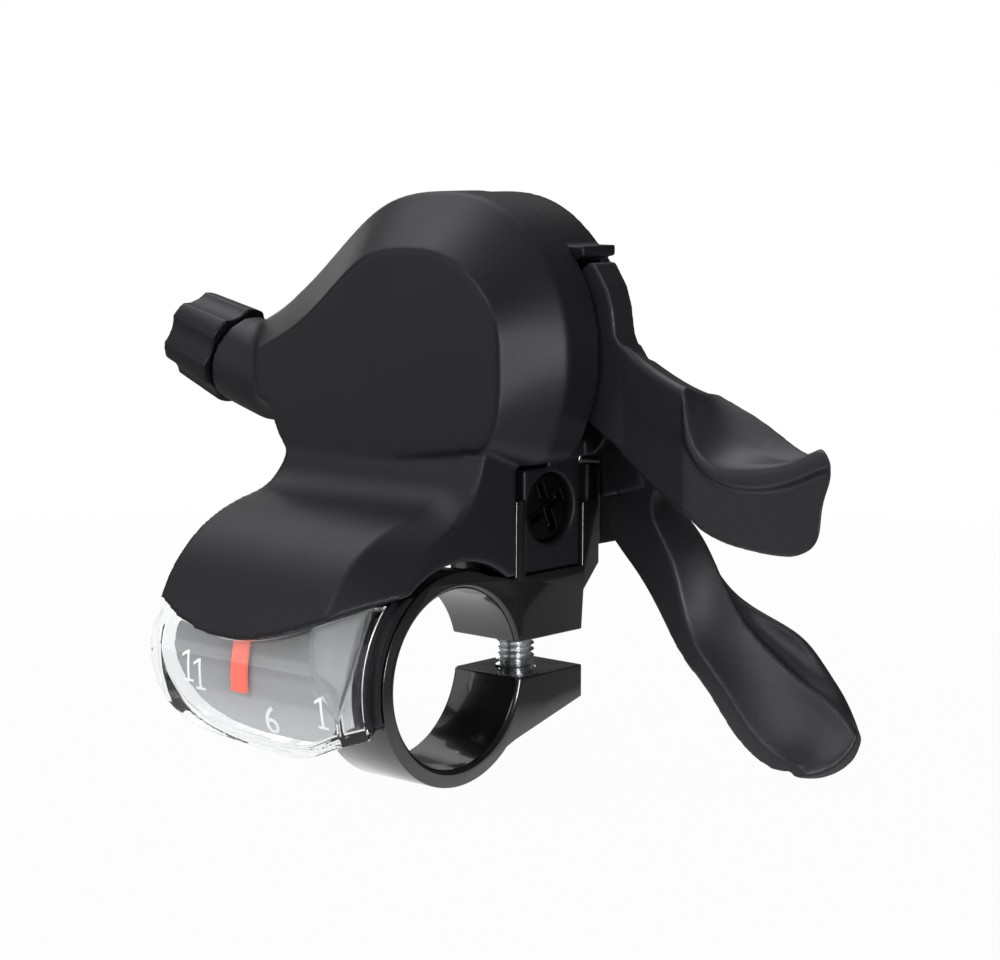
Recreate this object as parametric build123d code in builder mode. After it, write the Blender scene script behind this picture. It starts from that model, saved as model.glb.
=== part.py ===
from build123d import *
import os
from math import acos, asin, atan2, cos, degrees, pi, radians, sin, sqrt, tan

# Trigger gear shifter for the right end of a 22.2 mm handlebar.
# The origin is the centre of the handlebar clamp. +X runs along the bar, outboard.
# -Y is the side that the rider sees, with the cover and the gear display. +Z points forward.

# Running and seating gaps
GAP = 0.3
SHAFT_GAP = 0.06
SEAT_GAP = 0.1
SEAM_STEP = 0.25

# Handlebar clamp
BAR_D = 22.2
CLAMP_W = 11.2
BAND_T = 2.2
SLIT_LOW = -1.6
SLIT_HIGH = 3.0
JAW_END = 23.2
JAW_T = 4.2
JAW_TOP = 11.2
JAW_FLARE = 3.4
RIM_CHAMFER = 0.45
BOLT_Y = 16.6
BOLT_D = 5.0
BOLT_HEAD_D = 8.5
BOLT_HEAD_H = 4.0
BOLT_HEX = 4.0
BOLT_END = 9.5

# Tongue of the case in the clamp's bracket, its screw and the lever stop beside it
TONGUE_FACE = 5.2
TONGUE_BACK = 1.1
TONGUE_Y0 = 12.4
TONGUE_Y1 = 23.2
TONGUE_TOP = 24.4
BRACKET_TOP = 21.5
BRACKET_RIM = 1.9
RIM_RISE = 9.6
FORK_RISE = 8.2
GROOVE_DEPTH = 2.0
SCREW_Y = 17.5
SCREW_Z = 19.2
SCREW_D = 4.0
SCREW_HEAD_D = 8.8
SCREW_HEAD_H = 1.8
SCREW_SUNK = 0.8
CROSS_L = 6.6
CROSS_W = 1.5
CROSS_DEPTH = 1.2
SCREW_L = 5.0
STOP_Y0 = 27.0
STOP_Y1 = 31.5
STOP_LOW = 13.4
STOP_TOP = 24.0

# Lever axle, parallel to Y
PIVOT_X = -6.0
PIVOT_Z = 38.5
AXLE_D = 6.0
COLLAR_D = 10.0
NUT_AF = 10.0
NUT_H = 3.2
WASHER_D = 13.0
WASHER_T = 0.8

# Levels along Y, from the panel back to the levers
PANEL_Y = 3.5
RIDGE_Y = 11.0
SEAM_Y = 17.0
FLOOR_T = 1.5
CASE_D = 6.3
BASE_T = 1.5
COVER_T = 1.9
POCKET_WALL = 0.8
RELEASE_T = 4.2
THUMB_HUB_T = 4.2

# Outline of the cover and case
BODY_R = 20.0
BODY_LOW_LEFT = 22.0
BODY_LOW_RIGHT = 25.2
BODY_RIGHT = 6.0
BODY_LEFT = -28.0
NECK_END_X = -40.5
NECK_TOP = 41.0
NECK_LOW = 28.6
PANEL_IN = 5.2
SLOT_TOP = 50.4
LUG_W = 3.2
LUG_H = 1.4
LUG_BACK = 6.5
BASE_R = 18.6
BOSS_D = 4.4
COVER_SCREW_D = 2.2
COVER_SCREW_L = 5.0
COVER_HEAD_D = 4.0
COVER_HEAD_H = 1.2

# Cable line, from the adjuster to the spool
CABLE_Y = 12.0
CABLE_TILT = 17.0
CABLE_X = -45.0
CABLE_Z = 35.6
NECK_D = 12.0
NECK_L = 9.0
SPRING_POCKET_D = 8.6
SPRING_POCKET_L = 4.0
KNOB_D = 13.4
KNOB_L = 9.2
KNOB_LOBES = 6
KNOB_GROOVE_R = 4.0
KNOB_GROOVE_DEPTH = 0.8
KNOB_END_D = 12.0
KNOB_START = 0.6
STEM_D = 5.0
STEM_L = 11.0
CASING_D = 5.2
CASING_DEPTH = 6.0
WIRE_D = 1.6

# Hood over the gear display
HOOD_RIM = 1.1
HOOD_LEFT = -28.4
HOOD_CREASE = 0.5
HOOD_RIGHT = 6.0
HOOD_RIGHT_RIM = 2.5
HOOD_BORE_GAP = 1.1
HOOD_BACK_Y = 10.2
LIP_LEFT = 9.4
LIP_MID = 5.2
LIP_MID_X = -13.5
LIP_RIGHT = 8.7
LIP_END = 11.4

# Display: lens, dial and needle
LENS_GAP = 1.1
LENS_T = 1.3
LENS_LEFT = -28.0
LENS_RIGHT = 4.0
LENS_LOW = -7.2
DIAL_T = 0.5
CASE_T = 1.7
CASE_GAP = 0.4
CASE_END = 5.6
END_TUBE_T = 0.8
END_RIB = 1.5
END_STEP = 0.9
END_SPAN = (-14.5, 60.0)
NEEDLE_X = -15.0
NEEDLE_GAP = 0.5
NEEDLE_T = 0.4
NEEDLE_W = 2.6
NEEDLE_TIP = -1.6
SHAFT_D = 2.4
NEEDLE_HUB_L = 2.0
BEARING_Y0 = -1.0
BEARING_Y1 = 3.2

# Gear train and ratchet
MODULE = 0.8
SPOOL_TEETH = 21
SECTOR_TEETH = 39
SECTOR_HALF = 38.0
BACKLASH = 0.16
GEAR_T = 1.4
GEAR_Y = 5.8
SPOOL_Y = 7.6
SPOOL_END_Y = 13.7
SPOOL_INSET = 8.4
CABLE_GROOVE = 1.4
DRUM_R = 9.0
RATCHET_T = 1.5
RATCHET_TEETH = 28
RATCHET_DEPTH = 1.2
PAWL_REACH = 3.0
PAWL_ANGLE = 165.0
PAWL_PIN_D = 2.4
PAWL_T = 1.1
HOLD_ANGLE = 100.0
PAWL_LEAD = 24.0
THUMB_TRAVEL = 36.0
SPRING_WIRE = 0.9
SPRING_TURNS = 2.5
SPRING_SEAT = 0.5
SPRING_PLAY = 1.2

# Levers
ARM_START = 20.4
ARM_BACK = 24.0
PADDLE_FRONT = 13.3
PADDLE_SLANT = (-0.62, 0.78, 0)
LIP_ROUND = 0.7
TOP_ROLL = 2.4
THUMB_HOLLOW = 0.38
THUMB_BELLY = 0.6
WING_RIM = 1.2
THUMB_END_R = 7.2
THUMB_END_AT = (36.8, 27.5, -4.7)
THUMB_FACE = (0.43, -0.82, 0.37)
THUMB_END_HEADING = -49.0
THUMB_HUB_R = 9.5
THUMB_HUB_WALL = 1.6
RELEASE_HUB_WALL = 1.0
RECESS_WALL = 1.6
RECESS_FLOOR = 1.4

# The display is laid in rings round the clamp: case, dial, needle, lens and hood
bore_r = BAR_D / 2
ring_r = bore_r + BAND_T
case_r = ring_r + CASE_GAP
dial_r = case_r + CASE_T + DIAL_T
needle_r = dial_r + NEEDLE_GAP
lens_r = needle_r + NEEDLE_T + LENS_GAP + LENS_T
hood_r = lens_r + HOOD_RIM
hood_right_r = ring_r + HOOD_RIGHT_RIM
hood_bore_r = ring_r + HOOD_BORE_GAP

# The spool fills the body, and the pawls stand round its ratchet wheel
spool_r = BODY_R - SPOOL_INSET
groove_r = spool_r - CABLE_GROOVE
ratchet_r = spool_r - GAP - SEAT_GAP
pawl_r = ratchet_r + PAWL_REACH

# The needle's axle stands where the sector meshes with the spool's gear
gear_distance = MODULE * (SPOOL_TEETH + SECTOR_TEETH) / 2
NEEDLE_Z = PIVOT_Z - sqrt(gear_distance ** 2 - (PIVOT_X - NEEDLE_X) ** 2)


def at_y(y):
    """Plane across the lever axle: local x is X and local y is Z."""
    return Plane(origin=(0, y, 0), x_dir=(1, 0, 0), z_dir=(0, -1, 0))


def at_x(x):
    """Plane across the handlebar: local x is Y and local y is Z."""
    return Plane(origin=(x, 0, 0), x_dir=(0, 1, 0), z_dir=(1, 0, 0))


def on_arc(radius, angle):
    """Point of the handlebar's cross-section, with the angle from -Y towards +Z."""
    return (-radius * cos(radians(angle)), radius * sin(radians(angle)))


def keep(builder, name):
    """Label the finished piece and write its file."""
    builder.part.label = name
    export_step(builder.part, f"parts/{name}.step")


os.makedirs("parts", exist_ok=True)

# Clamp band: the ring round the bar, its two jaws and the bracket that the case stands in
half_w = CLAMP_W / 2
with BuildPart() as clamp_band:
    with BuildSketch(at_x(-half_w)):
        Circle(ring_r)
        with BuildLine():
            Polyline(
                (0, ring_r), (HOOD_BACK_Y - GAP, JAW_TOP), (JAW_END + JAW_FLARE, JAW_TOP),
                (JAW_END + 0.4, JAW_TOP - 3.2), (JAW_END, SLIT_HIGH), (0, SLIT_HIGH), close=True,
            )
        make_face()
        with BuildLine():
            Polyline(
                (0, SLIT_LOW), (JAW_END, SLIT_LOW), (JAW_END, SLIT_LOW - JAW_T),
                (bore_r - 0.6, -0.7 * ring_r), (0, -ring_r), close=True,
            )
        make_face()
        Circle(bore_r, mode=Mode.SUBTRACT)
        with Locations((JAW_END, (SLIT_LOW + SLIT_HIGH) / 2)):
            Rectangle(2 * (JAW_END - bore_r + 3), SLIT_HIGH - SLIT_LOW, mode=Mode.SUBTRACT)
    extrude(amount=CLAMP_W)
    with BuildSketch(at_x(-half_w)):
        with Locations((TONGUE_Y0 - BRACKET_RIM, JAW_TOP)):
            Rectangle(
                TONGUE_Y1 - TONGUE_Y0 + BRACKET_RIM, BRACKET_TOP - JAW_TOP,
                align=(Align.MIN, Align.MIN),
            )
    extrude(amount=half_w + TONGUE_BACK - SEAT_GAP)
    with BuildSketch(at_x(TONGUE_BACK - SEAT_GAP)):
        with Locations((TONGUE_Y0 - BRACKET_RIM, JAW_TOP)):
            Rectangle(BRACKET_RIM - SEAT_GAP, RIM_RISE, align=(Align.MIN, Align.MIN))
    extrude(amount=half_w - TONGUE_BACK + SEAT_GAP)
    with BuildSketch(at_x(half_w)):
        with Locations((TONGUE_Y1 + SEAT_GAP, JAW_TOP)):
            Rectangle(
                JAW_END + JAW_FLARE - TONGUE_Y1 - SEAT_GAP, FORK_RISE, align=(Align.MIN, Align.MIN),
            )
    extrude(amount=-(half_w - TONGUE_FACE + GROOVE_DEPTH - SEAT_GAP))
    bore_rims = clamp_band.edges().filter_by(GeomType.CIRCLE)
    bore_rims = bore_rims.filter_by(lambda e: abs(e.radius - bore_r) < 0.01)
    chamfer(bore_rims, RIM_CHAMFER)
    with Locations(Plane(origin=(0, BOLT_Y, BOLT_END), z_dir=(0, 0, 1))):
        Cylinder(
            BOLT_D / 2, BOLT_END + ring_r, align=(Align.CENTER, Align.CENTER, Align.MAX),
            mode=Mode.SUBTRACT,
        )
    with Locations(Plane(origin=(0, BOLT_Y, SLIT_LOW - JAW_T + 1.6), z_dir=(0, 0, 1))):
        Cylinder(
            BOLT_HEAD_D / 2 + GAP, ring_r, align=(Align.CENTER, Align.CENTER, Align.MAX),
            mode=Mode.SUBTRACT,
        )
    with Locations(Plane(origin=(TONGUE_BACK, SCREW_Y, SCREW_Z), z_dir=(1, 0, 0))):
        Cylinder(SCREW_D / 2, half_w, align=(Align.CENTER, Align.CENTER, Align.MAX), mode=Mode.SUBTRACT)
keep(clamp_band, "clamp_band")

# Clamp bolt: socket head under the lower jaw, thread in the upper jaw
head_top = SLIT_LOW - JAW_T + 1.6
with BuildPart() as clamp_bolt:
    with BuildSketch(Plane(origin=(0, BOLT_Y, head_top), z_dir=(0, 0, 1))):
        Circle(BOLT_D / 2 - SHAFT_GAP)
    extrude(amount=BOLT_END - head_top - GAP)
    chamfer(clamp_bolt.edges().sort_by(Axis.Z)[-1], BOLT_D / 10)
    with BuildSketch(Plane(origin=(0, BOLT_Y, head_top), z_dir=(0, 0, -1))):
        Circle(BOLT_HEAD_D / 2)
    extrude(amount=BOLT_HEAD_H)
    chamfer(clamp_bolt.edges().group_by(Axis.Z)[0], BOLT_HEAD_D / 20)
    with BuildSketch(Plane(origin=(0, BOLT_Y, head_top - BOLT_HEAD_H), z_dir=(0, 0, 1))):
        RegularPolygon(BOLT_HEX / 2, 6, major_radius=False)
    extrude(amount=BOLT_HEAD_H / 2, mode=Mode.SUBTRACT)
keep(clamp_bolt, "clamp_bolt")


# Outlines across the lever axle: ten corner points, joined by the same six edges
def inward(points, distance):
    """The same outline, moved inwards by a wall's thickness."""
    moved = []
    for i, (x, z) in enumerate(points):
        x0, z0 = points[i - 1]
        x1, z1 = points[(i + 1) % len(points)]
        length = sqrt((x1 - x0) ** 2 + (z1 - z0) ** 2)
        moved.append((x + distance * (z1 - z0) / length, z - distance * (x1 - x0) / length))
    return moved


def outline(y, points):
    """Face of an outline: neck top, flank, top, right, heel, lower corners, waist, neck low."""
    neck_top, flank_low, flank_high, top, right, heel, low_right, low_left, waist, neck_low = points
    round_off = 1 - sqrt(0.5)
    corner = (
        round_off * top[0] + (1 - round_off) * right[0],
        round_off * right[1] + (1 - round_off) * top[1],
    )
    with BuildSketch(at_y(y)) as sketch:
        with BuildLine():
            Spline(neck_top, flank_low, flank_high, top, tangents=((1, 0.4), (1, 0)))
            Spline(top, corner, right, tangents=((1, 0), (0, -1)))
            Spline(right, heel, low_right, tangents=((0, -1), (-1, 0)))
            Line(low_right, low_left)
            Spline(low_left, waist, neck_low, tangents=((0, 1), (-1, 0)))
            Line(neck_low, neck_top)
        make_face()
    return sketch.sketch.face()


ridge = [
    (NECK_END_X, NECK_TOP), (PIVOT_X - 22.8, PIVOT_Z + 9.7), (PIVOT_X - 14.3, PIVOT_Z + 16.6),
    (PIVOT_X, PIVOT_Z + BODY_R + 0.2), (PIVOT_X + BODY_R - 0.4, PIVOT_Z),
    (PIVOT_X + 17.6, PIVOT_Z - 8.4), (BODY_RIGHT, BODY_LOW_RIGHT),
    (BODY_LEFT, BODY_LOW_LEFT), (BODY_LEFT - 2.4, NECK_LOW - 1.8), (NECK_END_X, NECK_LOW),
]
panel_end = NECK_END_X + PANEL_IN + 1.4
panel = [
    (panel_end, NECK_TOP - 3.4), (PIVOT_X - 18.0, PIVOT_Z + 4.2), (PIVOT_X - 9.0, PIVOT_Z + 11.2),
    (PIVOT_X + 1.0, PIVOT_Z + BODY_R - PANEL_IN - 1.6), (PIVOT_X + BODY_R - PANEL_IN, PIVOT_Z + 1.0),
    (PIVOT_X + 14.2, PIVOT_Z - 7.5), (PIVOT_X + 10.5, BODY_LOW_RIGHT + 2.4),
    (BODY_LEFT + 0.4, BODY_LOW_LEFT + 1.0), (BODY_LEFT - 1.6, NECK_LOW - 1.6), (panel_end, NECK_LOW + 3),
]


# Hood: the cross-section that is drawn along the bar, over the clamp ring
def hood_section(x, outer, inner):
    """Crescent about the bar, with a saddle that rises to the panel; outer gives the radius at an angle."""
    foot = (sqrt(inner ** 2 - (JAW_TOP + GAP) ** 2), JAW_TOP + GAP)
    with BuildSketch(at_x(x)) as sketch:
        with BuildLine():
            Spline(
                *[on_arc(outer(angle), angle) for angle in (-12, 12, 34, 56, 78)],
                (-0.2, max(outer(91), inner + 1) + 0.7),
                (2.6, 0.5 * (BODY_LOW_LEFT + BODY_LOW_RIGHT) - 0.3),
                (PANEL_Y + 0.4, BODY_LOW_RIGHT + 1.6),
            )
            Polyline(
                (PANEL_Y + 0.4, BODY_LOW_RIGHT + 1.6), (HOOD_BACK_Y, BODY_LOW_RIGHT + 1.6),
                (HOOD_BACK_Y, JAW_TOP + GAP), foot,
            )
            ThreePointArc(foot, on_arc(inner, 60), on_arc(inner, -12))
            Line(on_arc(inner, -12), on_arc(outer(-12), -12))
        make_face()
    return sketch.sketch.face()


def hood_full(angle):
    return hood_r


def hood_end(angle):
    """Radius at the right end: low over the ring, rising to the full radius at the panel."""
    rise = min(max((angle - 60) / 45, 0), 1)
    return hood_right_r + rise * (hood_r - hood_right_r)


def below_lip(y0, y1, raised):
    """Block of space under the hood's lip, from y0 to y1."""
    with BuildPart() as block:
        with BuildSketch(at_y(y1)):
            with BuildLine():
                Spline(
                    (HOOD_LEFT - 4, LIP_LEFT + 2.6 + raised), (HOOD_LEFT + 3, LIP_LEFT - 2.2 + raised),
                    (LIP_MID_X, LIP_MID + raised), (HOOD_CREASE - 1, LIP_RIGHT + raised),
                    (HOOD_RIGHT + 3, LIP_END + 1.4 + raised),
                )
                Polyline(
                    (HOOD_RIGHT + 3, LIP_END + 1.4 + raised), (HOOD_RIGHT + 3, -2 * hood_r),
                    (HOOD_LEFT - 4, -2 * hood_r), (HOOD_LEFT - 4, LIP_LEFT + 2.6 + raised),
                )
            make_face()
        extrude(amount=y1 - y0)
    return block.part


cable = Plane(
    origin=(CABLE_X, CABLE_Y, CABLE_Z), x_dir=(0, 1, 0),
    z_dir=(-cos(radians(CABLE_TILT)), 0, sin(radians(CABLE_TILT))),
)
cover_screws_at = [
    (PIVOT_X - 14.5, PIVOT_Z + 12.3), (BODY_LEFT + 3.2, BODY_LOW_LEFT + 4.4),
    (BODY_RIGHT - 1.5, BODY_LOW_RIGHT + 2.2),
]

with BuildPart() as top_cover:
    extrude(outline(SEAM_Y, ridge), amount=SEAM_Y - RIDGE_Y)
    loft([outline(RIDGE_Y, ridge), outline(PANEL_Y, panel)], ruled=True)
    with Locations(cable):
        Cylinder(NECK_D / 2, NECK_L, align=(Align.CENTER, Align.CENTER, Align.MAX))
    extrude(hood_section(HOOD_LEFT, hood_full, hood_bore_r), amount=HOOD_CREASE - HOOD_LEFT)
    loft([
        hood_section(HOOD_CREASE, hood_full, hood_bore_r), hood_section(HOOD_RIGHT, hood_end, hood_bore_r),
    ], ruled=True)
    add(below_lip(-2 * hood_r, 0, 0), mode=Mode.SUBTRACT)
    extrude(outline(SEAM_Y, inward(ridge, COVER_T)), amount=SEAM_Y - RIDGE_Y, mode=Mode.SUBTRACT)
    loft(
        [outline(RIDGE_Y, inward(ridge, COVER_T)), outline(PANEL_Y + COVER_T, inward(panel, COVER_T))],
        ruled=True, mode=Mode.SUBTRACT,
    )
    with BuildSketch(Plane.XY):
        with BuildLine():
            Polyline(
                (HOOD_LEFT + COVER_T, 0), (HOOD_LEFT + COVER_T, hood_r - COVER_T),
                (HOOD_CREASE - 0.4 * COVER_T, hood_r - COVER_T), (HOOD_RIGHT - COVER_T, hood_bore_r),
                (HOOD_RIGHT - COVER_T, 0), close=True,
            )
        make_face()
    revolve(axis=Axis.X, mode=Mode.SUBTRACT)
    with BuildSketch(at_y(GEAR_Y + GEAR_T + GAP)):
        with Locations((HOOD_LEFT + POCKET_WALL, NEEDLE_Z - SHAFT_D)):
            Rectangle(
                HOOD_CREASE + 2 - HOOD_LEFT - POCKET_WALL, PIVOT_Z - NEEDLE_Z,
                align=(Align.MIN, Align.MIN),
            )
    extrude(amount=GEAR_Y + GEAR_T + GAP - PANEL_Y - COVER_T, mode=Mode.SUBTRACT)
    with BuildSketch(at_y(SEAM_Y)):
        with Locations(*cover_screws_at):
            Circle(BOSS_D / 2)
    extrude(amount=SEAM_Y - RIDGE_Y)
    with BuildSketch(at_y(SEAM_Y)):
        with Locations(*cover_screws_at):
            Circle(COVER_SCREW_D / 2)
    extrude(amount=COVER_SCREW_L, mode=Mode.SUBTRACT)
    with Locations(cable):
        Cylinder(STEM_D / 2 + SEAT_GAP, 2 * NECK_L, mode=Mode.SUBTRACT)
        Cylinder(
            SPRING_POCKET_D / 2, SPRING_POCKET_L, align=(Align.CENTER, Align.CENTER, Align.MAX),
            mode=Mode.SUBTRACT,
        )
keep(top_cover, "top_cover")

# Lower case: closes the cover from behind, with the tongue for the clamp's bracket and the lever stop
floor_y = SEAM_Y + CASE_D - FLOOR_T
case_back = SEAM_Y + CASE_D
pawl_sweep = [PAWL_ANGLE - 10, PAWL_ANGLE + THUMB_TRAVEL + 10]


def round_pivot(radius, angle):
    """Point at a radius about the lever axle, with the angle from +X towards +Z."""
    return (PIVOT_X + radius * cos(radians(angle)), PIVOT_Z + radius * sin(radians(angle)))


def pawl_slot(y, depth):
    """Arc slot that the feed pawl's pin sweeps through."""
    with BuildLine(mode=Mode.PRIVATE) as path:
        ThreePointArc(
            round_pivot(pawl_r, pawl_sweep[0]), round_pivot(pawl_r, sum(pawl_sweep) / 2),
            round_pivot(pawl_r, pawl_sweep[1]),
        )
    with BuildPart() as slot:
        with BuildSketch(at_y(y)):
            SlotArc(path.edge(), PAWL_PIN_D + 4 * GAP)
        extrude(amount=depth)
    return slot.part


with BuildPart() as lower_case:
    extrude(outline(case_back, inward(ridge, SEAM_STEP)), amount=CASE_D)
    case_inside = outline(floor_y, inward(ridge, COVER_T + SEAM_STEP))
    extrude(case_inside, amount=CASE_D - FLOOR_T, mode=Mode.SUBTRACT)
    with BuildSketch(at_y(floor_y)):
        with BuildLine():
            Polyline(
                (PIVOT_X + 13.0, SLOT_TOP), (PIVOT_X + 2 * BODY_R, SLOT_TOP),
                (PIVOT_X + 2 * BODY_R, JAW_TOP),
                (BODY_RIGHT + 1.2, JAW_TOP), (BODY_RIGHT + 1.2, BODY_LOW_RIGHT + 3), close=True,
            )
        make_face()
    extrude(amount=CASE_D - FLOOR_T, mode=Mode.SUBTRACT)
    with BuildSketch(at_x(TONGUE_BACK)):
        with Locations((TONGUE_Y0, JAW_TOP + SEAT_GAP)):
            Rectangle(
                TONGUE_Y1 - TONGUE_Y0, TONGUE_TOP - JAW_TOP - SEAT_GAP, align=(Align.MIN, Align.MIN),
            )
        with Locations((SEAM_Y + SEAT_GAP, TONGUE_TOP - 2)):
            Rectangle(TONGUE_Y1 - SEAM_Y - SEAT_GAP, 4.4, align=(Align.MIN, Align.MIN))
        with Locations((TONGUE_Y1 - 1, STOP_LOW)):
            Rectangle(STOP_Y1 - TONGUE_Y1 + 1, STOP_TOP - STOP_LOW, align=(Align.MIN, Align.MIN))
    extrude(amount=TONGUE_FACE - TONGUE_BACK)
    with BuildSketch(at_x(TONGUE_FACE)):
        with Locations((TONGUE_Y1, STOP_LOW)):
            Rectangle(STOP_Y0 - TONGUE_Y1, STOP_TOP - STOP_LOW, align=(Align.MIN, Align.MIN))
    extrude(amount=-GROOVE_DEPTH, mode=Mode.SUBTRACT)
    with Locations(Plane(origin=(TONGUE_FACE, SCREW_Y, SCREW_Z), z_dir=(1, 0, 0))):
        CounterBoreHole(SCREW_D / 2 + SEAT_GAP, SCREW_HEAD_D / 2 + SEAT_GAP, SCREW_HEAD_H + SCREW_SUNK)
    with Locations(Plane(origin=(PIVOT_X, case_back, PIVOT_Z), z_dir=(0, 1, 0))):
        Hole(AXLE_D / 2 + SEAT_GAP)
    add(pawl_slot(case_back, FLOOR_T), mode=Mode.SUBTRACT)
    with BuildSketch(at_y(floor_y)):
        with Locations(*cover_screws_at):
            Circle(BOSS_D / 2)
    extrude(amount=CASE_D - FLOOR_T)
    with BuildSketch(at_y(floor_y)):
        with Locations(round_pivot(pawl_r, HOLD_ANGLE)):
            Circle(PAWL_PIN_D / 2)
    extrude(amount=floor_y - SPOOL_END_Y)
    with Locations(cable):
        Cylinder(
            NECK_D / 2 + SEAT_GAP, NECK_L + SEAT_GAP, align=(Align.CENTER, Align.CENTER, Align.MAX),
            mode=Mode.SUBTRACT,
        )
    with BuildSketch(at_x(TONGUE_BACK)):
        with BuildLine():
            Polyline(
                (STOP_Y0 + 1, STOP_TOP - 1), (STOP_Y1, STOP_TOP - 1), (STOP_Y1, STOP_TOP + 2.8),
                (STOP_Y0 + 1, STOP_TOP + 0.6), close=True,
            )
        make_face()
    extrude(amount=TONGUE_FACE - TONGUE_BACK)
    with BuildSketch(at_y(case_back)):
        with Locations((PIVOT_X + BODY_R - LUG_BACK, SLOT_TOP + GAP)):
            Rectangle(LUG_W, LUG_H, align=(Align.MIN, Align.MIN))
    extrude(amount=CASE_D)
    for x, z in cover_screws_at:
        with Locations(Plane(origin=(x, case_back, z), z_dir=(0, 1, 0))):
            CounterBoreHole(COVER_SCREW_D / 2 + SEAT_GAP, COVER_HEAD_D / 2 + SEAT_GAP, COVER_HEAD_H)
keep(lower_case, "lower_case")

# Cross-head screw that holds the tongue to the bracket
screw_face = TONGUE_FACE - SCREW_SUNK
with BuildPart() as housing_screw:
    with BuildSketch(at_x(screw_face)):
        with Locations((SCREW_Y, SCREW_Z)):
            Circle(SCREW_HEAD_D / 2)
    extrude(amount=-SCREW_HEAD_H)
    fillet(housing_screw.edges().sort_by(Axis.X)[-1], SCREW_HEAD_H / 4)
    with BuildSketch(at_x(screw_face - SCREW_HEAD_H)):
        with Locations((SCREW_Y, SCREW_Z)):
            Circle(SCREW_D / 2 - SHAFT_GAP)
    extrude(amount=-SCREW_L)
    with BuildSketch(at_x(screw_face)):
        with Locations((SCREW_Y, SCREW_Z)):
            with Locations(Location((0, 0, 0), 25)):
                Rectangle(CROSS_L, CROSS_W)
                Rectangle(CROSS_W, CROSS_L)
    extrude(amount=-CROSS_DEPTH, mode=Mode.SUBTRACT)
keep(housing_screw, "housing_screw")

# Base plate: steel, behind the case, with a leg down the back of the bracket
with BuildPart() as base_plate:
    with BuildSketch(at_y(case_back + BASE_T)):
        with Locations((PIVOT_X, PIVOT_Z)):
            Circle(BASE_R)
        with Locations((-half_w + 0.2, JAW_TOP + 1.6)):
            Rectangle(half_w - 0.8, PIVOT_Z - JAW_TOP - 1.6, align=(Align.MIN, Align.MIN))
        with Locations((TONGUE_BACK - GAP, STOP_TOP + GAP + 2.8)):
            Rectangle(BASE_R, BASE_R, align=(Align.MIN, Align.MAX), mode=Mode.SUBTRACT)
    extrude(amount=BASE_T)
    with BuildSketch(at_y(case_back + BASE_T)):
        with Locations((PIVOT_X, PIVOT_Z)):
            Circle(AXLE_D / 2 + SEAT_GAP)
    extrude(amount=BASE_T, mode=Mode.SUBTRACT)
    add(pawl_slot(case_back + BASE_T, BASE_T), mode=Mode.SUBTRACT)
keep(base_plate, "base_plate")


# Display: everything in it is a piece of a tube about the bar
def tube_piece(x0, x1, r0, r1, angle0, angle1):
    """Piece of a tube about the bar, between two angles from -Y towards +Z."""
    a = radians(angle0)
    start = Plane(origin=(0, 0, 0), x_dir=(1, 0, 0), z_dir=(0, -sin(a), -cos(a)))
    with BuildPart() as piece:
        with BuildSketch(start):
            with Locations((x0, r0)):
                Rectangle(x1 - x0, r1 - r0, align=(Align.MIN, Align.MIN))
        revolve(axis=Axis((0, 0, 0), (-1, 0, 0)), revolution_arc=angle1 - angle0)
    return piece.part


def lens_block(inset):
    """Space that the lens fills, or the space inside it when drawn in by its wall."""
    left = LENS_LEFT + inset
    right = LENS_RIGHT - inset
    low = LENS_LOW + inset
    with BuildPart() as block:
        add(tube_piece(left, right, case_r, lens_r - inset, -32, 90))
        with BuildSketch(at_y(0)):
            with BuildLine():
                Spline(
                    (left, 12), (left, 2.2), (left + 3.0, low + 3.6), (left + 9.5, low + 0.8),
                    (0.4 * left + 0.6 * right, low), (right + 1, low + 2.0),
                    tangents=((0, -1), (1, 0.25)),
                )
                Polyline((right + 1, low + 2.0), (right + 1, lens_r), (left, lens_r), (left, 12))
            make_face()
        extrude(amount=2 * lens_r, mode=Mode.INTERSECT)
        split(bisect_by=facet.offset(-inset), keep=Keep.BOTTOM)
    return block.part


facet_low = Vector(CASE_END - 0.6, -lens_r + 0.2, LENS_LOW + 4.2)
facet_high = Vector(HOOD_CREASE - 1.8, *on_arc(lens_r, 26))
facet_end = Vector(CASE_END, *on_arc(hood_right_r + 0.6, 38))
facet_normal = (facet_high - facet_low).cross(facet_end - facet_low).normalized()
if facet_normal.X < 0:
    facet_normal = facet_normal * -1
facet = Plane(origin=facet_low, z_dir=facet_normal)

lens_inner_end = LENS_RIGHT - LENS_T
with BuildPart() as lens:
    add(lens_block(0))
    add(lens_block(LENS_T), mode=Mode.SUBTRACT)
    add(below_lip(-2 * hood_r, 0, -SEAT_GAP), mode=Mode.INTERSECT)
    add(
        tube_piece(lens_inner_end - GAP, CASE_END, case_r - 1, case_r + END_TUBE_T + SEAT_GAP, -40, 95),
        mode=Mode.SUBTRACT,
    )
keep(lens, "lens")


def case_end():
    """Ribbed black end of the dial case, outside the lens, with the tube that carries it."""
    with BuildPart() as end:
        add(tube_piece(LENS_RIGHT + SEAT_GAP, CASE_END - END_STEP, case_r, case_r + END_RIB, *END_SPAN))
        add(tube_piece(CASE_END - END_STEP, CASE_END, case_r, case_r + END_TUBE_T, *END_SPAN))
        add(below_lip(-2 * hood_r, 0, -SEAT_GAP), mode=Mode.INTERSECT)
        add(tube_piece(lens_inner_end - 3 * GAP, CASE_END, case_r, case_r + END_TUBE_T, END_SPAN[0], 24))
    return end.part


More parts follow.
